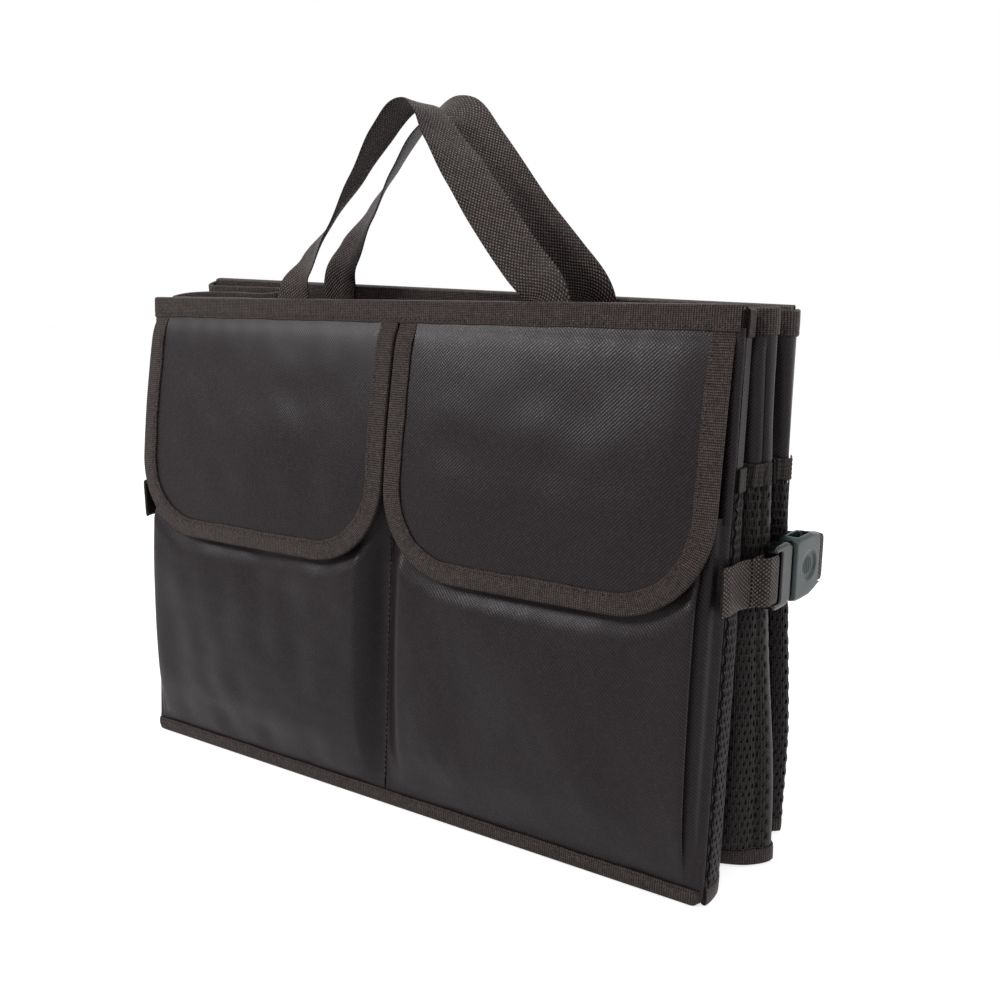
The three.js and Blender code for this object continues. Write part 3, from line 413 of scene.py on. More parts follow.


# Each cloth: its ground colour and its crown colour (a painted highlight on the raised threads), pitch and depth
# of the weave, roughness, weave, gloss, specks
CLOTHS = {
    "twill_fabric": ((18, 13, 15), (47, 40, 43), 0.0015, 0.0001, 0.36, "twill", 0.15, 0.5),
    "lining_fabric": ((13, 11, 11), (28, 25, 25), 0.0012, 0.0001, 0.7, "plain", 0.1, 0.5),
    "ribbed_tape": ((15, 10, 10), (88, 76, 73), 0.0013, 0.0004, 0.45, "rib", 0.12, 0.7),
    "woven_webbing": ((16, 11, 11), (116, 103, 99), 0.0026, 0.0004, 0.45, "dots", 0.12, 0.3),
    "knitted_net": ((14, 11, 11), (60, 53, 53), 0.0011, 0.0002, 0.45, "rib", 0.1, 0.5),
    "elastic": ((14, 11, 11), (66, 58, 56), 0.0009, 0.0002, 0.45, "rib", 0.12, 0.5),
    "thread": ((34, 28, 26), (96, 86, 82), 0.0006, 0.0001, 0.4, "rib", 0.2, 0.5),
    "hook_and_loop": ((13, 11, 11), (28, 25, 25), 0.0012, 0.0004, 0.9, "dots", 0.1, 0.5),
    "fibre_board": ((108, 90, 72), (122, 104, 86), 0.004, 0.0001, 0.8, "plain", 0.2, 0.2),
}
fabric, inner_fabric, tape, webbing, net_mat, elastic_mat, thread, patch_mat, board_mat = [
    cloth_material(name, linear(*ground), linear(*crown), *rest)
    for name, (ground, crown, *rest) in CLOTHS.items()]
plug_mat = plastic_material("glossy_black_plastic", linear(10, 9, 9), 0.16, 0.14)
socket_mat = plastic_material("teal_grey_plastic", linear(20, 35, 35), 0.22, 0.14)

# The CAD nodes that stay as they are are the boards and the strip at the flaps' seam
for node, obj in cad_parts.items():
    obj.data.materials.clear()
    obj.data.materials.append(board_mat if "board" in node and "base" not in node else fabric)
    for poly in obj.data.polygons:
        poly.material_index = 0


# Stitches
STITCH_SIDES = 5
STITCH_SHAPE = [(-0.5, 0.0), (-0.32, 0.8), (0.0, 1.0), (0.32, 0.8), (0.5, 0.0)]


def stitches(name, paths, pitch=3.3, length=2.5, radius=0.3, m=SAME, seed=1):
    """Rows of thread over a surface: each path is (points, normals) in order."""
    rng = np.random.default_rng(seed)
    verts, faces, uvs = [], [], []
    ring = [(math.cos(t), math.sin(t)) for t in np.arange(STITCH_SIDES) * math.tau / STITCH_SIDES]
    for points, normals in paths:
        s = lengths(points)
        count = int((s[-1] - 1.0) / pitch)
        for d in (np.arange(count) + 0.5) * s[-1] / max(count, 1):
            ends = [sample(d + e, s, points) for e in (-length / 2, length / 2)]
            nrm = unit(sample(d, s, normals))
            mid = (ends[0] + ends[1]) / 2
            t = unit(ends[1] - ends[0])
            side = unit(np.cross(t, nrm))
            t = unit(t + side * rng.uniform(-0.05, 0.05))
            lift = radius * rng.uniform(0.1, 0.45)
            first = len(verts)
            for e, r in STITCH_SHAPE:
                c = mid + t * e * length + nrm * (lift - (0.5 * radius if r == 0 else 0))
                if r == 0:
                    verts.append(c)
                    uvs.append((e * length, 0.0))
                    continue
                for j, (x, y) in enumerate(ring):
                    verts.append(c + side * x * r * radius + nrm * y * r * radius)
                    uvs.append((e * length, j * 0.3))
            last = len(verts) - 1
            rows = [[first + 1 + STITCH_SIDES * k + j for j in range(STITCH_SIDES)] for k in range(3)]
            for j in range(STITCH_SIDES):
                i = (j + 1) % STITCH_SIDES
                faces.append([first, rows[0][i], rows[0][j]])
                for q in range(2):
                    faces.append([rows[q][j], rows[q][i], rows[q + 1][i], rows[q + 1][j]])
                faces.append([rows[2][j], rows[2][i], last])
    return add(name, place(m, np.array(verts)), faces, thread, np.array(uvs))


# Tape
DENT, CORNER = 0.28, 0.18


def tape_section(width, low, high, row, fold):
    """U of tape around an edge, with a dent at its sewn row: first the way inwards from the
    edge, then the way through the thickness."""
    t, g = TAPE_T, LAYER_GAP
    b0, b1 = low - g, high + g
    mid, r = (b0 + b1) / 2, (b1 - b0) / 2 + t
    leg = [(width, b0 - 0.25 * t), (width - 0.25, b0 - 0.8 * t), (width - 0.9, b0 - t),
           (width - row + 0.5, b0 - 0.92 * t), (width - row, b0 - t + DENT),
           (width - row - 0.5, b0 - 0.92 * t), (width - row - 1.4, b0 - t), (0.45 * width, b0 - t - 0.06),
           (0.8, b0 - t)]
    arc = [(-(g + t) * fold * math.sin(q), mid - r * math.cos(q))
           for q in np.linspace(CORNER, math.pi - CORNER, 9)]
    back = [(a, 2 * mid - b) for a, b in reversed(leg)]
    inner = [(width, b1), (0.6, b1), (-g * 0.6, b1 - 0.12), (-g * 0.6, b0 + 0.12), (0.6, b0), (width, b0)]
    return np.array(leg + arc + back + inner)


def tape_run(name, p, a, b, width, low, high, m=SAME, seed=0, wobble=0.18, row=2.1,
             squeeze=1.0, narrow=1.0, fold=1.0):
    """Folded tape along frames, with a sewn line on its legs; returns the piece and stitch paths."""
    base = tape_section(width, low, high, row, fold)
    s = lengths(p)
    n = len(p)
    squeeze = np.broadcast_to(squeeze, n)[:, None]
    narrow = np.broadcast_to(narrow, n)[:, None]
    rng = np.random.default_rng(seed)
    phase = rng.uniform(0, 6, 4)
    sec = np.repeat(base[None], n, axis=0)
    edge = (wobble * (np.sin(s / 9.0 + phase[0]) + 0.6 * np.sin(s / 3.7 + phase[1])))[:, None]
    lift = (0.5 * wobble * (np.sin(s / 6.1 + phase[2]) + 0.7 * np.sin(s / 2.6 + phase[3])))[:, None]
    reach = np.clip(base[None, :, 0] / width, 0, 1) ** 2
    centre = (low + high) / 2
    out = np.sign(base[None, :, 1] - centre)
    solid_leg = (np.abs(base[None, :, 1] - centre) > (high - low) / 2 + LAYER_GAP + 0.02)
    sec[..., 0] += edge * reach
    sec[..., 1] += out * np.maximum(lift, -0.1) * reach * solid_leg
    sec[..., 0] = np.where(sec[..., 0] > 0, sec[..., 0] * narrow, sec[..., 0])
    sec[..., 1] = centre + (sec[..., 1] - centre) * squeeze
    obj = sweep(name, sec, p, a, b, tape, m)
    off = (high - low) / 2 + LAYER_GAP + TAPE_T - 0.22
    paths = []
    for sign in (-1, 1):
        up = centre + sign * (off + np.maximum(lift, -0.1)) * squeeze
        paths.append((p + a * (width - row + edge) * narrow + b * up, b * sign))
    return obj, paths


def sewn_tape(name, row_name, node, *frames, row_seed, radius=0.3, m=SAME, **values):
    """Tape that rides on the body, with its stitches."""
    obj, paths = tape_run(name, *frames, m=m, **values)
    finish(obj, ROOT, [node])
    finish(stitches(row_name, paths, m=m, seed=row_seed, radius=radius))


def straight(x0, x1, z, n, up):
    """Frames along a level edge, which lies above or below the cloth."""
    x = np.linspace(x0, x1, n)
    p = np.stack([x, np.zeros(n), np.full(n, float(z))], -1)
    a = np.tile([0.0, 0.0, -1.0 if up else 1.0], (n, 1))
    b = np.tile([0.0, 1.0, 0.0], (n, 1))
    return p, a, b


TAPE_END, DIVIDER_END = EDGE + 0.4, DIVIDER_W / 2 - 0.3
TOP_STEPS, HEM_STEPS = 120, 160
HEM_ROUND, HEM_RISE = 4.0, 0.9


def top_tape(name, m, half, z, low, high, node, seed):
    sewn_tape(name, name + "_stitches", node, *straight(-half, half, z, TOP_STEPS, True), TAPE_W, low, high,
              m=m, seed=seed, row_seed=seed, radius=0.34, wobble=0.16)


def hem_tape(name, m, half, low, high, node, seed):
    """Lower tape with its outer corners rounded."""
    r = HEM_ROUND
    p, a, b = straight(-half, half, LIFT, HEM_STEPS, False)
    x = (np.sin(np.linspace(-math.pi / 2, math.pi / 2, HEM_STEPS)) * 0.5
         + np.linspace(-0.5, 0.5, HEM_STEPS)) * half
    p[:, 0] = x
    d = np.clip(np.abs(x) - (half - r), 0, r)
    rise = HEM_RISE * (r - np.sqrt(np.maximum(r * r - d * d, 0.0)))
    p[:, 2] += rise
    sewn_tape(name, name + "_stitches", node, p, a, b, HEM_W, low, high, m=m, seed=seed, row_seed=seed,
              wobble=0.14, row=1.8, fold=0.9, narrow=1 - rise / HEM_W)


top_tape("front_top_tape", FRONT, TAPE_END, PANEL_H, -2.0, PANEL_T, "front_top_binding", 11)
top_tape("back_top_tape", BACK, TAPE_END, PANEL_H, -PANEL_T, 0.0, "back_top_binding", 12)
top_tape("divider_top_tape", MIDDLE, DIVIDER_END, DIVIDER_H, -HALF_DIV, HALF_DIV, "divider_top_binding", 13)
hem_tape("front_lower_tape", FRONT, TAPE_END, -1.6, PANEL_T, "front_lower_binding", 14)
hem_tape("back_lower_tape", BACK, TAPE_END, -PANEL_T, 0.0, "back_lower_binding", 15)
hem_tape("divider_lower_tape", MIDDLE, DIVIDER_END, -HALF_DIV, HALF_DIV, "divider_lower_binding", 16)


# Panels
CORNER_ROUND = 5.0


def corner_half(z, half, r=CORNER_ROUND):
    """Half a panel's length at a height, with its lower corners rounded."""
    d = np.clip(r - (z - LIFT), 0, r)
    return half - r + np.sqrt(np.maximum(r * r - d * d, 0))


def panel_sheet(name, m, half, z0, z1, y, thick, mat, node, side, seed, amp, r=CORNER_ROUND):
    """Cloth stretched over a panel: it waves a little between its sewn edges. side is the
    direction in which it may swell, and amp how far."""
    us = np.linspace(-1, 1, 60)
    zs = np.concatenate([np.linspace(z0, z0 + 8, 6), np.linspace(z0 + 14, z1, 36)])
    u, z = np.meshgrid(us, zs)
    x = u * corner_half(z, half, r)
    held = (smooth(half - np.abs(x), 0, 30) * smooth(z - z0, 4, 34) * smooth(z1 - z, 10, 40))
    w = (0.55 + 0.5 * waves(x, z, 90, seed) + 0.22 * waves(x, z, 34, seed + 1)) * amp * held
    p = np.stack([x, y + side * np.maximum(w, -0.15), z], -1)
    obj = cloth(name, p, thick, np.stack([x, z], -1), mat, m)
    finish(obj, ROOT, [node])


SHEETS = (
    ("front_panel_cloth", FRONT, 0.5, FABRIC_T, fabric, "front_panel_fabric", -1, 21, 0.25),
    ("front_lining_cloth", FRONT, PANEL_T - 0.4, LINING_T, inner_fabric, "front_panel_lining", 1, 22, 0.4),
    ("back_panel_cloth", BACK, -0.5, FABRIC_T, fabric, "back_panel_fabric", 1, 23, 1.5),
    ("back_lining_cloth", BACK, -PANEL_T + 0.4, LINING_T, inner_fabric, "back_panel_lining", -1, 24, 0.4),
)
for name, m, *rest in SHEETS:
    panel_sheet(name, m, EDGE, LIFT, PANEL_H - 0.6, *rest)
for tag, side, seed in (("front", -1, 25), ("rear", 1, 26)):
    panel_sheet(f"divider_{tag}_cloth", MIDDLE, DIVIDER_W / 2, LIFT, DIVIDER_H - 0.6, side * (HALF_DIV - 0.5),
                FABRIC_T, inner_fabric, f"divider_{tag}_fabric", side, seed, 0.7)
for tag, m, side in (("front", FRONT, 1), ("rear", BACK, -1)):
    y = side * (PANEL_T + 0.5 + BASE_T / 2)
    panel_sheet(f"{tag}_base_cloth", m, BASE_L / 2, HEM_W + 2, HEM_W + 2 + BASE_H, y, BASE_T, inner_fabric,
                f"{tag}_base_board", side, 27, 0.25, 6.0)

# Pockets: how far the pocket's cloth and the flap stand out from the panel, by height
pocket_depth = track([[0, 0.85], [6, 0.85], [10, 1.0], [22, 4.6], [42, 9.6], [72, 12.6], [100, 13.9],
                      [126, 14.5], [150, 14.0], [175, 12.8], [POCKET_TOP, 11.4]])
flap_depth = track([[FLAP_LOW, 15.8], [172, 14.8], [200, 13.6], [230, 11.4], [255, 8.6], [272, 6.4],
                    [281, 4.6], [287, 2.4], [293, 1.0]])
PRESS = 3.8  # by how much the flap presses the pocket in
SEAM_D = 0.85  # depth at the seams
FACE = EDGE - 9.5  # where the pocket's face turns into its side


def flap_edge(x):
    """Height of the flap's lower edge above a place on the pocket."""
    over = np.clip((np.abs(np.abs(x) - EDGE / 2) - (EDGE / 2 - FLAP_CORNER)) / FLAP_CORNER, 0, 1)
    return FLAP_LOW + FLAP_CORNER * (1 - np.sqrt(1 - over ** 2))


def pocket_face(x, z):
    """How far the pocket's face stands out, without its wrinkles."""
    d = pocket_depth(z) - PRESS * smooth(z - flap_edge(x), -14, 1)
    seam = SEAM_D + (d - SEAM_D) * smooth(np.abs(x), 0.6, 17)
    crown = np.sin(math.pi * np.clip(np.abs(x) / EDGE, 0, 1))
    return seam + 2.4 * crown * smooth(z, 14, 70) * (1 - smooth(z, 95, 140))


def pocket_wrinkles(x, z, seed):
    """Soft wrinkles, with short puckers along the middle seam and over the hem."""
    held = smooth(np.abs(x), 4, 34) * smooth(z, 12, 44) * (1 - 0.75 * smooth(z, 135, 175))
    soft = 0.95 * waves(x, z, 95, seed) + 0.34 * waves(x, z, 36, seed + 1) + 0.1 * waves(x, z, 13, seed + 2)
    edge = 0.45 + 0.55 * smooth(FACE - np.abs(x), 0, 34)
    pull = 0.22 * np.sin(z / 2.3 + 0.7 * np.sin(z / 17.0)) * np.exp(-np.abs(x) / 6.0)
    hem = 0.4 * waves(x, z * 0.2, 24, seed + 3) * smooth(z, 9, 16) * (1 - smooth(z, 20, 48))
    return held * edge * soft + pull * smooth(z, 14, 30) + hem


GUSSET = 38  # steps round the pocket's side


def pocket_grid(side, seed):
    """Points of a pocket from its sewn outer edge, round its side and over its face."""
    zs = np.concatenate([np.linspace(2, 14, 10), np.linspace(16, 60, 22), np.linspace(63, POCKET_TOP, 52)])
    t_face = np.linspace(0, 1, 76)[1:]
    rows = []
    for z in zs:
        d = float(pocket_depth(z) - PRESS * smooth(z - flap_edge(FACE), -14, 1))
        k = min(max((d - 3) / 6, 0), 1)
        x_face = mix(FACE - 1.4, POCKET_SEAM_X, np.sin(t_face * math.pi / 2) * 0.55 + t_face * 0.45)
        s4 = smooth(t_face * 4, -1, 1)
        y_face = pocket_face(x_face, z) * s4 + (1 - s4) * d
        y_face = y_face + pocket_wrinkles(x_face, np.full_like(x_face, z), seed)
        path = [(EDGE + 1.5, -2.0), (EDGE + 1.4, -0.4), (EDGE + 0.3, 0.8), (EDGE - 2.4, mix(SEAM_D, d, 0.14)),
                (EDGE - 4.2, mix(SEAM_D, d, 0.42)), (FACE + mix(2.6, -2.4, k), mix(SEAM_D, d, 0.56)),
                (FACE + 0.6, mix(d, SEAM_D, 0.1)), (FACE - 1.4, d), (x_face[1], y_face[1])]
        path = np.array([(x, y, 0.0) for x, y in path])
        gus = catmull(path, np.linspace(0, 7 / 8, GUSSET + 1))
        x = np.concatenate([gus[:, 0], x_face])
        y = np.concatenate([gus[:, 1], y_face])
        if z < 6.5:
            x = np.minimum(x, float(corner_half(z, EDGE + 1.5)))
        y = np.where(x < EDGE - 1, np.maximum(y, 0.62), y)
        rows.append(np.stack([side * x, -y, np.full_like(x, z)], -1))
    return np.array(rows)


def grid_uv(p):
    """Lengths along the rows, and heights, for a grid of points."""
    step = np.linalg.norm(np.diff(p, axis=1), axis=-1).mean(0)
    along = np.concatenate([[0.0], np.cumsum(step)])
    up = np.concatenate([[0.0], np.cumsum(np.linalg.norm(np.diff(p, axis=0), axis=-1).mean(1))])
    return np.stack(np.meshgrid(along, up), -1)


def flap_half(z, half):
    """Half the flap's width at a height, with its lower corners rounded."""
    d = np.clip(FLAP_LOW + FLAP_CORNER - z, 0, FLAP_CORNER)
    return half - FLAP_CORNER + np.sqrt(np.maximum(FLAP_CORNER ** 2 - d * d, 0))


def flap_surface(cx, half, seed):
    """The flap's middle surface, as a function of place and height."""
    def at(x, z):
        x, z = np.asarray(x, float), np.asarray(z, float)
        crown = 1.3 * (1 - ((x - cx) / half) ** 2) * smooth(288 - z, 0, 60)
        inner = flap_half(np.maximum(z, FLAP_LOW), half) - np.abs(x - cx)
        held = smooth(inner, 9, 48) * smooth(z, FLAP_LOW + 8, FLAP_LOW + 46) * smooth(289 - z, 4, 44)
        w = 0.62 * waves(x, z, 88, seed) + 0.26 * waves(x, z, 33, seed + 1)
        near = np.exp(-np.maximum(288 - z, 0) / 9.0) * 0.2 * np.sin(x / 3.1 + 1.2 * np.sin(x / 21.0))
        tuck = 0.3 * smooth(x, EDGE - 32, EDGE) * smooth(z, 172, 206)
        y = -flap_depth(z) * (1 - tuck) - crown - w * held - near * smooth(289 - z, 1, 6)
        return np.stack([x, y, z], -1)

    return at


BODIES = {-1: "left_flap_body", 1: "right_flap_body"}
# Points on the flap's hinge line, at two heights on the front panel.
HINGE = (place(FRONT, [0, 0, 289.6]), place(FRONT, [0, 0, 285.0]))


def metres(p):
    """A point in metres, in the frame of the part."""
    return tuple(float(c) * 0.001 for c in (p[0], p[1] + SHIFT_Y, p[2]))


def bend_flap(obj, nodes=()):
    """Hides the CAD nodes that the piece stands for, and bakes its placing into its points."""
    if nodes:
        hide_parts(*nodes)
    metres(HINGE[0])
    metres(HINGE[1])
    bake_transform(obj)


SIDES = (("left", -1, 40, 70), ("right", 1, 51, 83))
for tag, side, pocket_seed, flap_seed in SIDES:
    grid = pocket_grid(side, pocket_seed)
    pocket = cloth(f"{tag}_pocket_cloth", grid, 1.0, grid_uv(grid), fabric, FRONT)
    finish(pocket, ROOT, [f"{tag}_pocket"])

    # Tape over the mouth
    top = grid[-1, GUSSET:-4]
    a = unit(grid[-4, GUSSET:-4] - top)
    b = unit(np.cross(np.gradient(top, axis=0), a))
    sewn_tape(f"{tag}_mouth_tape", f"{tag}_mouth_stitches", f"{tag}_pocket_mouth_binding", top, a, b, HEM_W,
              -0.6, 0.6, m=FRONT, seed=60 + side, row_seed=61, row=1.8)

    # Flap
    x0 = -EDGE + FLAP_EDGE if side < 0 else FLAP_SPLIT_X + FLAP_GAP / 2
    x1 = FLAP_SPLIT_X - FLAP_GAP / 2 if side < 0 else EDGE - FLAP_EDGE
    cx, half = (x0 + x1) / 2, (x1 - x0) / 2
    surface = flap_surface(cx, half, flap_seed)
    low = FLAP_LOW + LIFT + 0.05
    round_zs = low + FLAP_CORNER * (1 - np.cos(np.linspace(0.12, math.pi / 2, 26)))
    zs = np.concatenate([[low], round_zs, np.linspace(202, 292, 36)])
    u, z = np.meshgrid(np.linspace(-1, 1, 80), zs)
    width = flap_half(np.maximum(z - LIFT, FLAP_LOW), half) - LIFT
    x = cx + u * width
    p = surface(x, z)
    flap = cloth(f"{tag}_flap_cloth", p, 1.1, np.stack([x, z], -1), fabric, FRONT)
    bend_flap(flap, [f"{tag}_flap"])

    # Tape round the flap's free edge
    edge = [(-half, zz, -1.0, 0.0) for zz in np.linspace(291, FLAP_LOW + FLAP_CORNER, 34)]
    for q in np.linspace(0, math.pi / 2, 27)[1:]:
        c, s = math.cos(q), math.sin(q)
        edge.append((-half + FLAP_CORNER * (1 - c), FLAP_LOW + FLAP_CORNER * (1 - s), -c, -s))
    edge += [(xx, FLAP_LOW, 0.0, -1.0) for xx in np.linspace(-half + FLAP_CORNER, 0, 12)[1:]]
    edge += [(-xx, zz, -ox, oz) for xx, zz, ox, oz in reversed(edge[:-1])]
    e = np.array(edge)
    ex, ez = cx + e[:, 0] - e[:, 2] * LIFT, e[:, 1] - e[:, 3] * LIFT
    p = surface(ex, ez)
    px = unit(surface(ex + 0.5, ez) - surface(ex - 0.5, ez))
    pz = unit(surface(ex, ez + 0.5) - surface(ex, ez - 0.5))
    inwards = unit(-px * e[:, 2:3] - pz * e[:, 3:4])
    n = unit(np.cross(px, pz))
    n = np.where(n[:, 1:2] > 0, -n, n)
    squeeze = mix(0.42, 1.0, smooth(291 - ez, 0, 16))
    obj, paths = tape_run(f"{tag}_flap_tape", p, inwards, n, TAPE_W - LIFT, -0.6, 0.6, m=FRONT,
                          seed=90 + side, squeeze=squeeze, wobble=0.22)
    bend_flap(obj, [f"{tag}_flap_binding"])
    row = stitches(f"{tag}_flap_stitches", [(q[4:-4], w[4:-4]) for q, w in paths], m=FRONT, seed=91)
    bend_flap(row)

    # Hook and loop patches
    px_, pz_ = np.meshgrid(np.linspace(cx - 30, cx + 30, 31), np.linspace(163, 181, 11))
    hook = surface(px_, pz_) + [0, 0.55 + 0.9, 0]
    obj = cloth(f"{tag}_hook_strip", hook, 1.2, np.stack([px_, pz_], -1), patch_mat, FRONT)
    finish(obj, BODIES[side], [f"{tag}_hook_patch"])
    ax = np.abs(px_)
    y = -pocket_face(ax, pz_) - pocket_wrinkles(ax, pz_, pocket_seed) - 1.3
    loop = np.stack([px_, y, pz_], -1)
    obj = cloth(f"{tag}_loop_strip", loop, 1.2, np.stack([px_, pz_], -1), patch_mat, FRONT)
    finish(obj, ROOT, [f"{tag}_loop_patch"])

# Sewn line down the valley between the pockets, and piping down the panel's side edges
zs = np.linspace(16, 198, 120)
line = np.stack([np.zeros(120), -pocket_face(0.4, zs) - 0.55, zs], -1)
finish(stitches("pocket_seam_stitches", [(line, np.tile([0.0, -1.0, 0.0], (120, 1)))], m=FRONT, seed=5))
# Each piping: panel, place beyond the edge, depth, half width, half thickness, and start
PIPINGS = (("front", FRONT, -0.9, 0.1, 3.3, 2.1, 197.0), ("back", BACK, 0.9, -0.9, 1.15, 1.15, 7.5))
PIPING_STEPS = 130
for tag, side, *_ in SIDES:
    for panel, m, x, y, a, b, z0 in PIPINGS:
        zs = np.linspace(z0, 290, PIPING_STEPS)
        ring = np.array([(a * math.cos(q), b * math.sin(q)) for q in np.linspace(0, math.tau, 25)[:-1]])
        p = np.stack([side * (EDGE + x + 0.1 * np.sin(zs / 7.0)), np.full_like(zs, y), zs], -1)
        obj = sweep(f"{tag}_{panel}_piping", ring, p, np.tile([1.0, 0, 0], (PIPING_STEPS, 1)),
                    np.tile([0, 1.0, 0], (PIPING_STEPS, 1)), fabric, m, sharp=60)
        finish(obj)


# End walls and their net pockets
def bay_sides(bay, x, z):
    """Points on the outer panel and on the divider, either side of the front or rear bay."""
    outer = place(BACK, [x, -PANEL_T, z]) if bay else place(FRONT, [x, PANEL_T, z])
    return outer, place(MIDDLE, [x, HALF_DIV if bay else -HALF_DIV, z])


def bay_gap(bay, z):
    outer, inner = bay_sides(bay, 0, z)
    return abs(outer[1] - inner[1])


def bay_point(bay, x, eta, z):
    """Point of a bay's wall: eta runs from the outer panel's inner face to the divider."""
    if eta < 0:
        y = PANEL_T + eta
        return place(BACK, [x, -y, z]) if bay else place(FRONT, [x, y, z])
    outer, inner = bay_sides(bay, x, z)
    return outer + (inner - outer) * eta / bay_gap(bay, z)


# The wall's ridge at the divider's edge, and the rear leaf's bulge, by height
ridge_at = track([[0, EDGE + RIDGE_OUT_LOW], [60, EDGE + RIDGE_OUT_LOW - 2],
                  [STRAP_Z - STRAP_W, EDGE + RIDGE_OUT_STRAP], [NET_TOP, EDGE + RIDGE_OUT_STRAP - 1.4],
                  [PANEL_H, EDGE + RIDGE_OUT_TOP]])
rear_bulge = track([[0, REAR_BULGE], [60, REAR_BULGE], [120, 0.66 * REAR_BULGE], [200, 0.2 * REAR_BULGE],
                    [PANEL_H, 0]])


def leaf(bay, z):
    """Path of a bay's wall at a height: out along the panel, into the valley and back out."""
    gap = bay_gap(bay, z)
    mid = gap / 2
    h = min(6, 0.22 * gap)
    low = 1 - float(smooth(z, 120, 240))
    puff = float(rear_bulge(z)) if bay else low * float(smooth(z, -30, 40))
    near, far = mid - h, mid + h
    ridge = float(ridge_at(z))
    return [(WALL_X, -4.2), (WALL_X + 0.5 + 0.5 * puff, 0), (WALL_X + 0.4 + puff, 0.5 * near),
            (WALL_X - 3.4 + 0.5 * puff, 0.95 * near), (WALL_X - 16, near), (VALLEY_X + 34, near),
            (VALLEY_X + h, near), (VALLEY_X, mid), (VALLEY_X + h, far), (VALLEY_X + 34, far),
            (WALL_X - 20, far + 0.05 * (gap - far)), (WALL_X - 9, far + 0.2 * (gap - far)),
            (mix(WALL_X, ridge, 0.45) + 0.6 * low, gap - 2.4 - 0.3 * (gap - far) * low)]


def wall_controls(side, z):
    pts = [bay_point(0, side * x, eta, z) for x, eta in leaf(0, z)]
    pts.append(place(MIDDLE, [side * float(ridge_at(z)), 0, z]))
    pts += [bay_point(1, side * x, eta, z) for x, eta in reversed(leaf(1, z))]
    return np.array(pts)


SPANS, WALL_COLUMNS = 26.0, 521
WALL_Z0, WALL_Z1 = LIFT + 1, PANEL_H - 2
WALL_ZS = np.linspace(WALL_Z0, WALL_Z1, 64)


class Surface:
    """Middle surface of a folded piece, as rows of points at the wall's heights."""

    def __init__(self, side, p):
        self.side, self.p = side, p
        self.n = grid_normals(p) * side
        self.s = np.array([lengths(row) for row in p])

    def rows(self, count, zs):
        """Points, normals and lengths on a new grid, in even steps along the middle row."""
        arc = self.s[len(self.s) // 2]
        at = np.linspace(0, arc[-1], count)
        p, n, s = [], [], []
        for j in range(len(WALL_ZS)):
            p.append(sample(at, arc, self.p[j]))
            n.append(sample(at, arc, self.n[j]))
            s.append(np.interp(at, arc, self.s[j]))
        p, n, s = np.array(p), np.array(n), np.array(s)
        zs = np.asarray(zs, float)
        j = np.clip(np.searchsorted(WALL_ZS, zs) - 1, 0, len(WALL_ZS) - 2)
        t = ((zs - WALL_ZS[j]) / (WALL_ZS[j + 1] - WALL_ZS[j]))[:, None]
        out = [mix(g[j], g[j + 1], t[..., None] if g.ndim == 3 else t) for g in (p, n, s)]
        out[1] = unit(out[1])
        return out


def wall_surface(side):
    """An end wall, with a sewn crease beside the divider's edge and soft wrinkles."""
    us = np.linspace(0, SPANS, WALL_COLUMNS)
    p = np.array([catmull(wall_controls(side, z), us / SPANS) for z in WALL_ZS])
    n = grid_normals(p) * side
    s = np.array([lengths(row) for row in p]).mean(0)[None, :] + 0 * p[..., 0]
    z = WALL_ZS[:, None] + 0 * s
    seed = 200 + side
    crease = 0.35 * waves(s, z, 15, seed, stretch=6.0) + 0.28 * waves(s, z, 40, seed + 1, stretch=3.0)
    held = smooth(z, WALL_Z0 + 3, WALL_Z0 + 22) * smooth(WALL_Z1 - z, 3, 22)
    ends = smooth(s, 4, 14) * smooth(s[:, -1:] - s, 4, 14)
    lobe = 2.4 * np.exp(-((us - 11.4) / 0.42) ** 2) - 1.5 * np.exp(-((us - 12.15) / 0.13) ** 2)
    lobe = lobe[None, :] * smooth(z, WALL_Z0, WALL_Z0 + 16) * smooth(WALL_Z1 - z, 4, 26)
    soft = crease * held * ends * (0.55 + 0.65 * smooth(z, 205, 236))
    return Surface(side, p + n * (soft + lobe)[..., None])


# Columns of the wall's grid between which each net lies on its first and on its second leaf
NET_COLUMNS = {"front": (4, 60, 212, 254), "rear": (266, 308, 460, 516)}
BRIDGE_STEPS = 62


def net_surface(wall, bay):
    """A net pocket's middle surface: over the wall's two leaves, and slack across its valley.
    At its foot, where it is sewn down, it follows the valley."""
    k = NET_COLUMNS[bay]
    a, b = wall.p[:, k[0]:k[1] + 1], wall.p[:, k[2]:k[3] + 1]
    t0, t3 = unit(a[:, -1] - a[:, -7]), unit(b[:, 6] - b[:, 0])
    reach = mix(20.0, 9.0, smooth(WALL_ZS, 120, NET_TOP))[:, None]
    p0, p3 = a[:, -1], b[:, 0]
    p1, p2 = p0 + t0 * reach, p3 - t3 * reach
    t = np.linspace(0, 1, BRIDGE_STEPS)[1:-1, None, None]
    bridge = (1 - t) ** 3 * p0 + 3 * t * (1 - t) ** 2 * p1 + 3 * t * t * (1 - t) * p2 + t ** 3 * p3
    bridge = bridge.transpose(1, 0, 2)
    fold = wall.p[:, np.linspace(k[1], k[2], BRIDGE_STEPS).astype(int)[1:-1]]
    sewn = smooth(WALL_ZS, 12, 52)[:, None, None]
    return Surface(wall.side, np.concatenate([a, mix(fold, bridge, sewn), b], axis=1))


CELL_W, CELL_STEP = 3.1, 4.5
NET_FACE, NET_BACK, NET_HOLE = 0.42, -0.22, 0.12
GATHER = 6.4  # from one gather of the elastic to the next


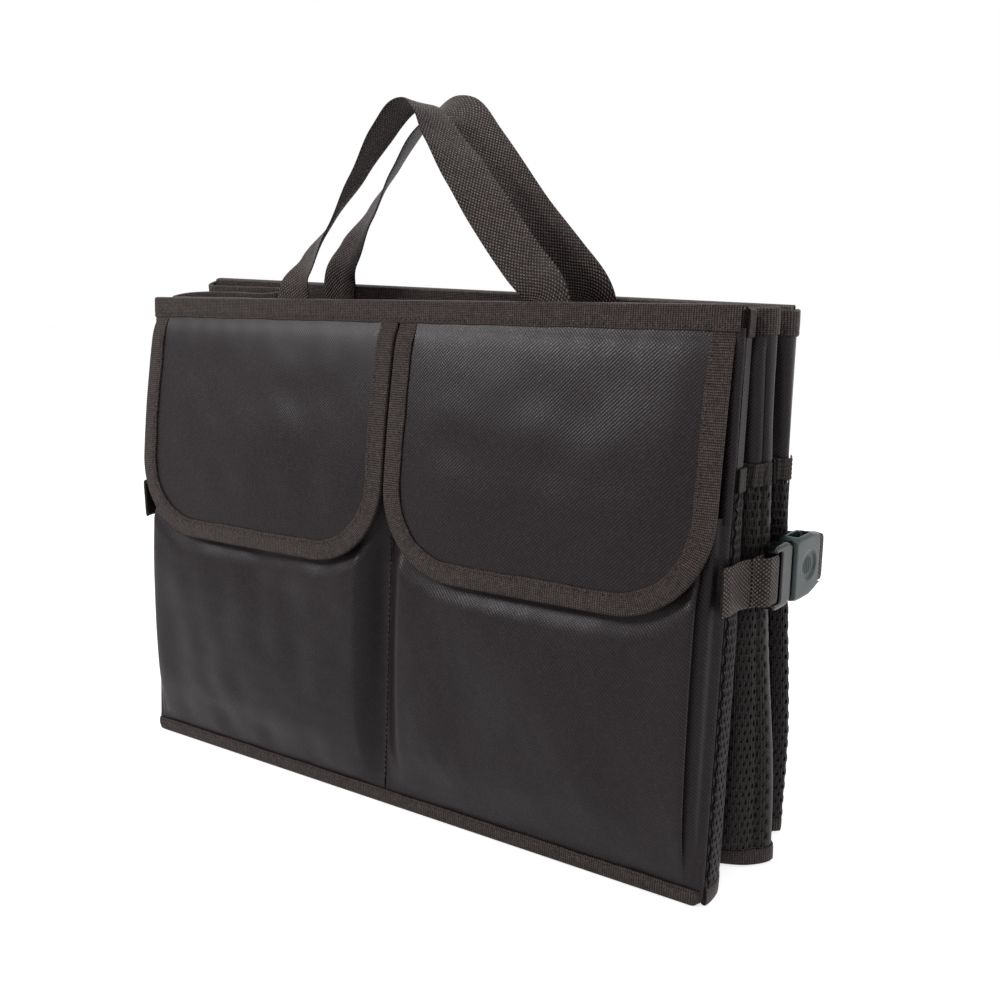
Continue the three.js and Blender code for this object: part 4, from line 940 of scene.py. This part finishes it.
def net_lattice(name, surface):
    """Knitted net with slanted lens-shaped holes, as one sheet of linked cells."""
    zs = np.linspace(NET_LOW, NET_TOP + 3, 90)
    count = 420
    p, n, s = surface.rows(count, zs)
    total = float(s[:, -1].mean())
    cols = int(round(total / CELL_W))
    w, step = total / cols, CELL_STEP
    tall = step / 0.75
    rows = int((NET_TOP + 3 - NET_LOW) / step) + 1
    ids, verts, faces = {}, [], []

    def vertex(key, x, z, h):
        if key not in ids:
            ids[key] = len(verts)
            verts.append((x, z, h))
        return ids[key]

    hexagon = [(0, 2), (2, 1), (2, -1), (0, -2), (-2, -1), (-2, 1)]
    hole = [(0.1, 0.27), (0.2, 0.08), (0.13, -0.15), (-0.1, -0.27), (-0.2, -0.08), (-0.13, 0.15)]
    for r in range(rows):
        for c in range(cols + 1):
            cx4, cz4 = 4 * c + (2 if r % 2 else 0), 3 * r
            cx, cz = cx4 * w / 4, NET_LOW + 2.2 + cz4 * tall / 4
            if cx < 0.4 * w or cx > total - 0.4 * w or cz > NET_TOP + 0.5:
                continue
            ring = {}
            for side, h in ((1, NET_FACE), (-1, NET_BACK)):
                outer = [vertex((side, cx4 + a, cz4 + b), cx + a * w / 4, cz + b * tall / 4, h)
                         for a, b in hexagon]
                inner = [vertex((side, "h", r, c, k), cx + a * w, cz + b * tall, side * NET_HOLE)
                         for k, (a, b) in enumerate(hole)]
                ring[side] = inner
                for k in range(6):
                    q = [outer[k], outer[(k + 1) % 6], inner[(k + 1) % 6], inner[k]]
                    faces.append(q if side > 0 else q[::-1])
            for k in range(6):
                faces.append([ring[1][k], ring[1][(k + 1) % 6], ring[-1][(k + 1) % 6], ring[-1][k]])
    v = np.array(verts)
    x, z, h = np.clip(v[:, 0], 0, total), np.clip(v[:, 1], NET_LOW, NET_TOP + 3), v[:, 2]
    fi, zi = x / total * (count - 1), (z - zs[0]) / (zs[1] - zs[0])
    i, j = np.clip(fi.astype(int), 0, count - 2), np.clip(zi.astype(int), 0, len(zs) - 2)
    a, b = (fi - i)[:, None], (zi - j)[:, None]
    at = lambda g: mix(mix(g[j, i], g[j, i + 1], a), mix(g[j + 1, i], g[j + 1, i + 1], a), b)
    pos, nrm = at(p), unit(at(n))
    bag = smooth(z, NET_LOW, NET_LOW + 50) * smooth(NET_TOP - z, 0, 50)
    bag = bag * smooth(x, 0, 10) * smooth(total - x, 0, 10)
    gather = 0.3 * (np.sin(math.tau * x / GATHER) + 0.6) * np.exp(-np.maximum(NET_TOP - z, 0) / 14.0)
    off = WALL_T / 2 + 0.4 + 0.35 * bag + gather + h + 0.1 * waves(x, z, 20, 7) * bag
    return add(name, pos + nrm * off[:, None], faces, net_mat, np.stack([x, z], -1), sharp=70)


def elastic_band(name, surface):
    """Gathered band with ribs along it, over the net's upper edge."""
    zs = np.linspace(NET_TOP, NET_TOP + ELASTIC_H, 23)
    p, n, s = surface.rows(150, zs)
    v = (zs - NET_TOP)[:, None] / ELASTIC_H
    ribs = np.abs(np.sin(math.pi * 5 * v)) ** 0.7
    gather = 0.42 * np.sin(math.tau * s / GATHER) + 0.2 * np.sin(math.tau * s / 2.9 + 1)
    calm = smooth(s, 0, 8) * smooth(s[:, -1:] - s, 0, 8)
    mid = WALL_T / 2 + 1.1 + gather * calm * 0.8
    sag = np.stack([np.zeros_like(s), np.zeros_like(s), 0.5 * np.sin(math.tau * s / 31.0 + 1) * calm], -1)
    half = (0.32 + 0.42 * ribs) * smooth(np.minimum(v, 1 - v), -0.02, 0.06)
    outer = p + n * (mid + half)[..., None] + sag
    inner = p + n * (mid - 0.3)[..., None] + sag
    verts, faces, uvs = shell(outer, inner, np.stack([s, zs[:, None] + 0 * s], -1))
    return add(name, verts, faces, elastic_mat, uvs, sharp=70)


for tag, side, *_ in SIDES:
    wall = wall_surface(side)
    p, n, s = wall.rows(230, WALL_ZS)
    uv = np.stack([s, WALL_ZS[:, None] + 0 * s], -1)
    verts, faces, uvs = shell(p + n * WALL_T / 2, p - n * WALL_T / 2, uv)
    obj = add(f"{tag}_end_cloth", verts, faces, fabric, uvs, sharp=60)
    finish(obj, ROOT, [f"{tag}_end_wall"])
    for edge, z, up, width in (("top", WALL_Z1, -1, TAPE_W), ("lower", WALL_Z0, 1, HEM_W)):
        base, nrm, _ = wall.rows(210, [z, z + up * 5])
        q, b = base[0], nrm[0]
        a = unit(base[1] - base[0])
        name = f"{tag}_end_{edge}"
        sewn_tape(name + "_tape", name + "_stitches", name + "_binding", q, a, b, width,
                  -WALL_T / 2, WALL_T / 2, seed=110 + side, row_seed=111, row=2.0, wobble=0.14)
    for bay in ("front", "rear"):
        surface = net_surface(wall, bay)
        net = net_lattice(f"{tag}_{bay}_net", surface)
        finish(net, ROOT, [f"{tag}_{bay}_net_pocket"])
        band = elastic_band(f"{tag}_{bay}_elastic", surface)
        finish(band, ROOT, [f"{tag}_{bay}_net_elastic"])


# Webbing
def webbing_strip(name, p, a, b, width, thick, m=SAME, cup=0.0):
    """Flat woven strip with rounded edges, along frames."""
    s = lengths(p)
    at = np.linspace(0, s[-1], max(int(s[-1] / 2.0), 12))
    p, a, b = sample(at, s, p), unit(sample(at, s, a)), sample(at, s, b)
    b = unit(b - a * np.sum(a * b, -1, keepdims=True))
    v = np.sin(np.linspace(-math.pi / 2, math.pi / 2, 21))
    x, u = v[None, :] * width / 2, at[:, None]
    rim = np.maximum(1 - np.abs(v) ** 9, 0.12)[None, :] ** 0.5
    h = thick / 2 * (rim + 0 * u)
    bend = cup * (1 - v ** 2)[None, :]
    spine = p[:, None, :] + a[:, None, :] * x[..., None] + b[:, None, :] * bend[..., None]
    uv = np.stack([u + 0 * x, x + 0 * u], -1)
    verts, faces, uvs = shell(place(m, spine + b[:, None, :] * h[..., None]),
                              place(m, spine - b[:, None, :] * h[..., None]), uv)
    return add(name, verts, faces, webbing, uvs, sharp=60)


SEWN_Y = PANEL_T + 2 * LAYER_GAP + TAPE_T + HANDLE_T / 2
SEWN_Z = PANEL_H - HANDLE_SEWN
# Points of the handles from each sewn end: sideways, outwards, above the panel's top, and the
# webbing's turn in degrees.
FRONT_LEFT = [(0, -0.9, -HANDLE_SEWN, 0), (0, 0, -14, 0), (3, 0.7, 5, 0), (11.5, 1.4, 21, -32),
              (30, 1.6, 45, -54), (51, 2.4, 72, -72), (69, 2.8, 96, -86), (81, 3, 108, -90), (90, 3, 110.5, -88)]
FRONT_RIGHT = [(-86, 3, 106, -80), (-75, 2.6, 91, -66), (-58, 2, 69, -46), (-40, 1.4, 46, -30),
               (-19.5, 0.6, 22, -16), (-4, 0.7, 5, 0), (0, 0, -14, 0), (0, -0.9, -HANDLE_SEWN, 0)]
REAR_LEFT = [(0, 0.9, -HANDLE_SEWN, 0), (0, 0, -14, 0), (3, -0.4, 4, 0), (12, -0.4, 21, -24),
             (26.5, 5, 44, -48), (44, 11, 70, -68), (58, 14, 89, -74), (69, 16, 100, -68), (80, 17, 104, -60)]
REAR_RIGHT = [(-94, 17, 100.5, -53), (-82, 14, 87.5, -46), (-63.5, 10, 66, -34), (-44, 6, 44, -22),
              (-20, 1.8, 21, -8), (-3, -0.4, 3, 0), (0, 0, -14, 0), (0, 0.9, -HANDLE_SEWN, 0)]


def handle_path(depth, left, right):
    return np.array([(x - HANDLE_X, depth + y, PANEL_H + z, turn) for x, y, z, turn in left]
                    + [(x + HANDLE_END, depth + y, PANEL_H + z, turn) for x, y, z, turn in right], float)


def handle(name, path, m, node, seed):
    """Webbing handle along its points, with a sewn box on each end."""
    n = len(path) - 1
    t = np.linspace(0, 1, 401)
    p = catmull(path[:, :3], t)
    k = np.minimum((t * n).astype(int), n - 1)
    angle = np.radians(mix(path[k, 3], path[k + 1, 3], smooth(t * n - k, 0, 1)))[:, None]
    tangent = unit(np.gradient(p, axis=0))
    across = unit(np.cross([0.0, 1.0, 0.0], tangent))
    through = unit(np.cross(tangent, across))
    a = across * np.cos(angle) + through * np.sin(angle)
    b = unit(np.cross(tangent, a))
    free = smooth(p[:, 2], 306, 330)
    p = p + b * (0.35 * free * np.sin(lengths(p) / 19.0 + seed))[:, None]
    obj = webbing_strip(name, p, a, b, HANDLE_W, HANDLE_T, m=m, cup=0.5)
    finish(obj, ROOT, [node])
    # Sewn box with a cross on each end
    paths = []
    for side in (-1, 1):
        z0, z1, w = SEWN_Z + 2.5, SEWN_Z + 26, HANDLE_W / 2 - 2.5
        box = [(-w, z0), (w, z0), (w, z1), (-w, z1), (-w, z0), (w, z1), (w, z0), (-w, z1)]
        for c, d in zip(box[:-1], box[1:]):
            ends = np.array([c, d], float)
            pts = mix(ends[:1], ends[1:], np.linspace(0, 1, 12)[:, None])
            y = np.interp(pts[:, 1], [path[0, 2], path[1, 2]], [path[0, 1], path[1, 1]])
            sign = float(np.sign(path[0, 1]))
            x = pts[:, 0] + (HANDLE_END if side > 0 else -HANDLE_X)
            q = np.stack([x, y + sign * (HANDLE_T / 2 + 0.12), pts[:, 1]], -1)
            paths.append((q, np.tile([0.0, sign, 0.0], (12, 1))))
    finish(stitches(name + "_stitches", paths, m=m, pitch=2.9, length=2.3, seed=seed))


handle("front_handle_webbing", handle_path(SEWN_Y, FRONT_LEFT, FRONT_RIGHT), FRONT, "front_handle", 3)
handle("rear_handle_webbing", handle_path(-SEWN_Y, REAR_LEFT, REAR_RIGHT), BACK, "rear_handle", 4)

turn = math.radians(BUCKLE_TURN)
ALONG = np.array([math.sin(turn), math.cos(turn)])
OUTWARD = np.array([ALONG[1], -ALONG[0]])
WRAP = LAYER_GAP + STRAP_T / 2
REACH = BAR_HALF + WRAP


def on_buckle(d, n):
    """Place at a distance along the buckle and outwards from it."""
    return tuple(np.array([BUCKLE_X, BUCKLE_Y]) + ALONG * d + OUTWARD * n)


def round_bar(d, direction):
    """The strap's way round a bar."""
    w = (BAR_T / 2 + WRAP) * direction
    return [on_buckle(d + x, n) for x, n in
            [(w * 0.98, -1.5), (w * 1.02, 1.4), (w * 0.9, REACH - 0.12), (w * 0.4, REACH + 0.06),
             (-w * 0.4, REACH + 0.06), (-w * 0.9, REACH - 0.12), (-w * 1.02, 1.4), (-w * 0.98, -1.5)]]


def strap_piece(name, path, side):
    """Closing strap along a level path."""
    pts = np.array([(side * x, y, STRAP_Z) for x, y in path])
    p = catmull(pts, np.linspace(0, 1, 240))
    tangent = unit(np.gradient(p, axis=0))
    a = np.tile([0.0, 0.0, 1.0], (len(p), 1))
    b = unit(np.cross(tangent, a))
    return webbing_strip(name, p, a, b, STRAP_W, STRAP_T)


VOXEL = 0.00058


def moulded(name, node, mat):
    """Moulded copy of a CAD solid with soft edges."""
    obj = linked(name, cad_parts[node].data.copy())
    remesh = obj.modifiers.new("remesh", "REMESH")
    remesh.mode, remesh.voxel_size, remesh.use_smooth_shade = "VOXEL", VOXEL, True
    soften = obj.modifiers.new("soften", "SMOOTH")
    soften.factor, soften.iterations = 0.5, 3
    mesh = bpy.data.meshes.new_from_object(obj.evaluated_get(bpy.context.evaluated_depsgraph_get()))
    obj.modifiers.clear()
    obj.data = mesh
    mesh.materials.clear()
    mesh.materials.append(mat)
    mesh.polygons.foreach_set("use_smooth", [True] * len(mesh.polygons))
    return obj


PAD_HALF_L, PAD_HALF_W, PAD_DEPTH, RIB_PITCH = 9.5, 8.5, 1.0, 2.4


def press_thumb_pad(obj, side):
    """Sinks a ribbed thumb pad into the socket's outer face."""
    mesh = obj.data
    co = np.zeros(len(mesh.vertices) * 3, np.float32)
    mesh.vertices.foreach_get("co", co)
    v = co.reshape(-1, 3).astype(float) * 1000
    rel = np.stack([side * v[:, 0] - BUCKLE_X, v[:, 1] - SHIFT_Y - BUCKLE_Y], -1)
    along, out = rel @ ALONG, rel @ OUTWARD
    middle = (along.min() + along.max()) / 2 - 2
    r = np.hypot((along - middle) / PAD_HALF_L, (v[:, 2] - STRAP_Z) / PAD_HALF_W)
    ribs = 0.28 * np.cos(math.tau * (along - middle) / RIB_PITCH) * (1 - smooth(r, 0.45, 0.7))
    dent = (PAD_DEPTH * (1 - smooth(r, 0.72, 1.02)) - ribs) * smooth(out, 4.2, 5.2)
    v[:, :2] -= dent[:, None] * OUTWARD * [side, 1]
    mesh.vertices.foreach_set("co", (v * 0.001).astype(np.float32).ravel())
    mesh.update()


for tag, side, *_ in SIDES:
    front_strap = [(EDGE + 3.4, 2.6), (EDGE + 5.2, 6.5), (EDGE + 5.9, 11), (EDGE + 6.6, 19),
                   (EDGE + 10.6, 27), on_buckle(-6, REACH - 0.4), on_buckle(-1.2, REACH),
                   *round_bar(BAR_T / 2, -1)[3:6],
                   on_buckle(BAR_T + WRAP + 0.1, -1.2), on_buckle(BAR_T + 0.6, -REACH + 0.1),
                   on_buckle(BAR_T / 2, -REACH - 0.06), on_buckle(-2, -REACH), on_buckle(-8, -REACH),
                   on_buckle(-13, -REACH + 0.3)]
    obj = strap_piece(f"{tag}_front_webbing", front_strap, side)
    finish(obj, ROOT, [f"{tag}_front_strap"])
    mid = SOCKET_END - BAR_T / 2
    corner = place(BACK, [side * EDGE, 0, STRAP_Z])
    back_y = (corner[1] + (corner[2] - STRAP_Z + STRAP_W / 2) * math.tan(math.radians(BACK_LEAN))
              + 2 * LAYER_GAP + STRAP_T / 2)
    edge_x = side * corner[0]
    rear_strap = [(edge_x - 22, back_y), (edge_x - 6, back_y), (edge_x + 4, back_y + 0.8),
                  (edge_x + 10, back_y + 3.6),
                  on_buckle(mid + BAR_T / 2 + WRAP - 0.4, -REACH - 1.6), *round_bar(mid, 1),
                  on_buckle(mid - BAR_T / 2 - WRAP - 0.3, -REACH - 0.6), on_buckle(mid - 5.2, -REACH - 3.6)]
    obj = strap_piece(f"{tag}_rear_webbing", rear_strap, side)
    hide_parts(f"{tag}_rear_strap")
    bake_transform(obj)
    plug = moulded(f"{tag}_plug_moulding", f"{tag}_buckle_plug", plug_mat)
    finish(plug, ROOT, [f"{tag}_buckle_plug"])
    socket = moulded(f"{tag}_socket_moulding", f"{tag}_buckle_socket", socket_mat)
    press_thumb_pad(socket, side)
    finish(socket, f"{tag}_buckle_half", [f"{tag}_buckle_socket"])

# Stage
FLOOR_BASE, FLOOR_GLOW, AMBIENT = 0.5, 0.74, 0.28
FLOOR_HALF, FLOOR_STEPS, FLOOR_Z = 6.0, 12, -0.0004


def seen_rays(tree):
    """1 for what the camera sees, straight or by a glossy or clear surface; 0 for other light."""
    path = tree.nodes.new("ShaderNodeLightPath")
    seen = path.outputs["Is Camera Ray"]
    for ray in ("Is Glossy Ray", "Is Transmission Ray"):
        total = tree.nodes.new("ShaderNodeMath")
        total.operation, total.use_clamp = "ADD", True
        tree.links.new(seen, total.inputs[0])
        tree.links.new(path.outputs[ray], total.inputs[1])
        seen = total.outputs[0]
    return seen


n = Nodes("pale_floor")
n.bsdf.inputs["Base Color"].default_value = (FLOOR_BASE, FLOOR_BASE, FLOOR_BASE, 1)
n.bsdf.inputs["Roughness"].default_value = 0.7
glow = n.new("ShaderNodeEmission")
glow.inputs["Color"].default_value = (FLOOR_GLOW, FLOOR_GLOW, FLOOR_GLOW, 1)
n.link(seen_rays(n.tree), glow.inputs["Strength"])
both = n.new("ShaderNodeAddShader")
n.link(n.bsdf.outputs[0], both.inputs[0])
n.link(glow.outputs[0], both.inputs[1])
n.link(both.outputs[0], n.out.inputs[0])
bm = bmesh.new()
bmesh.ops.create_grid(bm, x_segments=FLOOR_STEPS, y_segments=FLOOR_STEPS, size=FLOOR_HALF)
floor_mesh = bpy.data.meshes.new("floor")
bm.to_mesh(floor_mesh)
bm.free()
floor_mesh.materials.append(n.mat)
floor = linked("floor", floor_mesh)
floor.location.z = FLOOR_Z
floor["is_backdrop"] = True

world = bpy.data.worlds.new("studio")
bpy.context.scene.world = world
world.use_nodes = True
tree = world.node_tree
tree.nodes.clear()
background = tree.nodes.new("ShaderNodeBackground")
world_out = tree.nodes.new("ShaderNodeOutputWorld")
level = tree.nodes.new("ShaderNodeMapRange")
level.inputs[3].default_value = AMBIENT
level.inputs[4].default_value = 1.0
tree.links.new(seen_rays(tree), level.inputs[0])
tree.links.new(level.outputs[0], background.inputs["Strength"])
background.inputs["Color"].default_value = (1, 1, 1, 1)
tree.links.new(background.outputs[0], world_out.inputs[0])


def lamp(name, at, target, size, power):
    """Round lamp that faces a point."""
    data = bpy.data.lights.new(name, "AREA")
    data.shape, data.size, data.energy = "DISK", size, power
    obj = linked(name, data)
    obj.location = at
    obj.rotation_mode = "QUATERNION"
    obj.rotation_quaternion = (Vector(target) - Vector(at)).to_track_quat("-Z", "Y")


lamp("key", (-0.95, -1.2, 1.25), (0, 0, 0.2), 0.5, 28)
lamp("right", (1.7, 0.3, 0.8), (0.15, 0, 0.18), 0.8, 15)
lamp("front", (0.5, -1.6, 1.5), (0, 0, 0.2), 0.6, 9)
lamp("top", (0.1, 0.35, 1.7), (0, 0, 0.2), 1.0, 10)

LENS, SENSOR = 36.21, 36.0
CAMERA_TURN, CAMERA_TIP = math.radians(31.71), math.radians(12.274)
CAMERA_AT = (0.3535, -0.4401 + SHIFT_Y * 0.001, 0.3105)
cam_data = bpy.data.cameras.new("camera")
cam_data.lens, cam_data.sensor_width = LENS, SENSOR
camera = linked("camera", cam_data)
forward = np.array([-math.sin(CAMERA_TURN) * math.cos(CAMERA_TIP),
                    math.cos(CAMERA_TURN) * math.cos(CAMERA_TIP), -math.sin(CAMERA_TIP)])
right = np.array([math.cos(CAMERA_TURN), math.sin(CAMERA_TURN), 0.0])
up = np.cross(right, forward)
rows = [[right[i], up[i], -forward[i], CAMERA_AT[i]] for i in range(3)]
camera.matrix_world = Matrix(rows + [[0, 0, 0, 1]])
bpy.context.scene.camera = camera
bpy.context.scene.view_settings.view_transform = "Standard"

low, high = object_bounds()
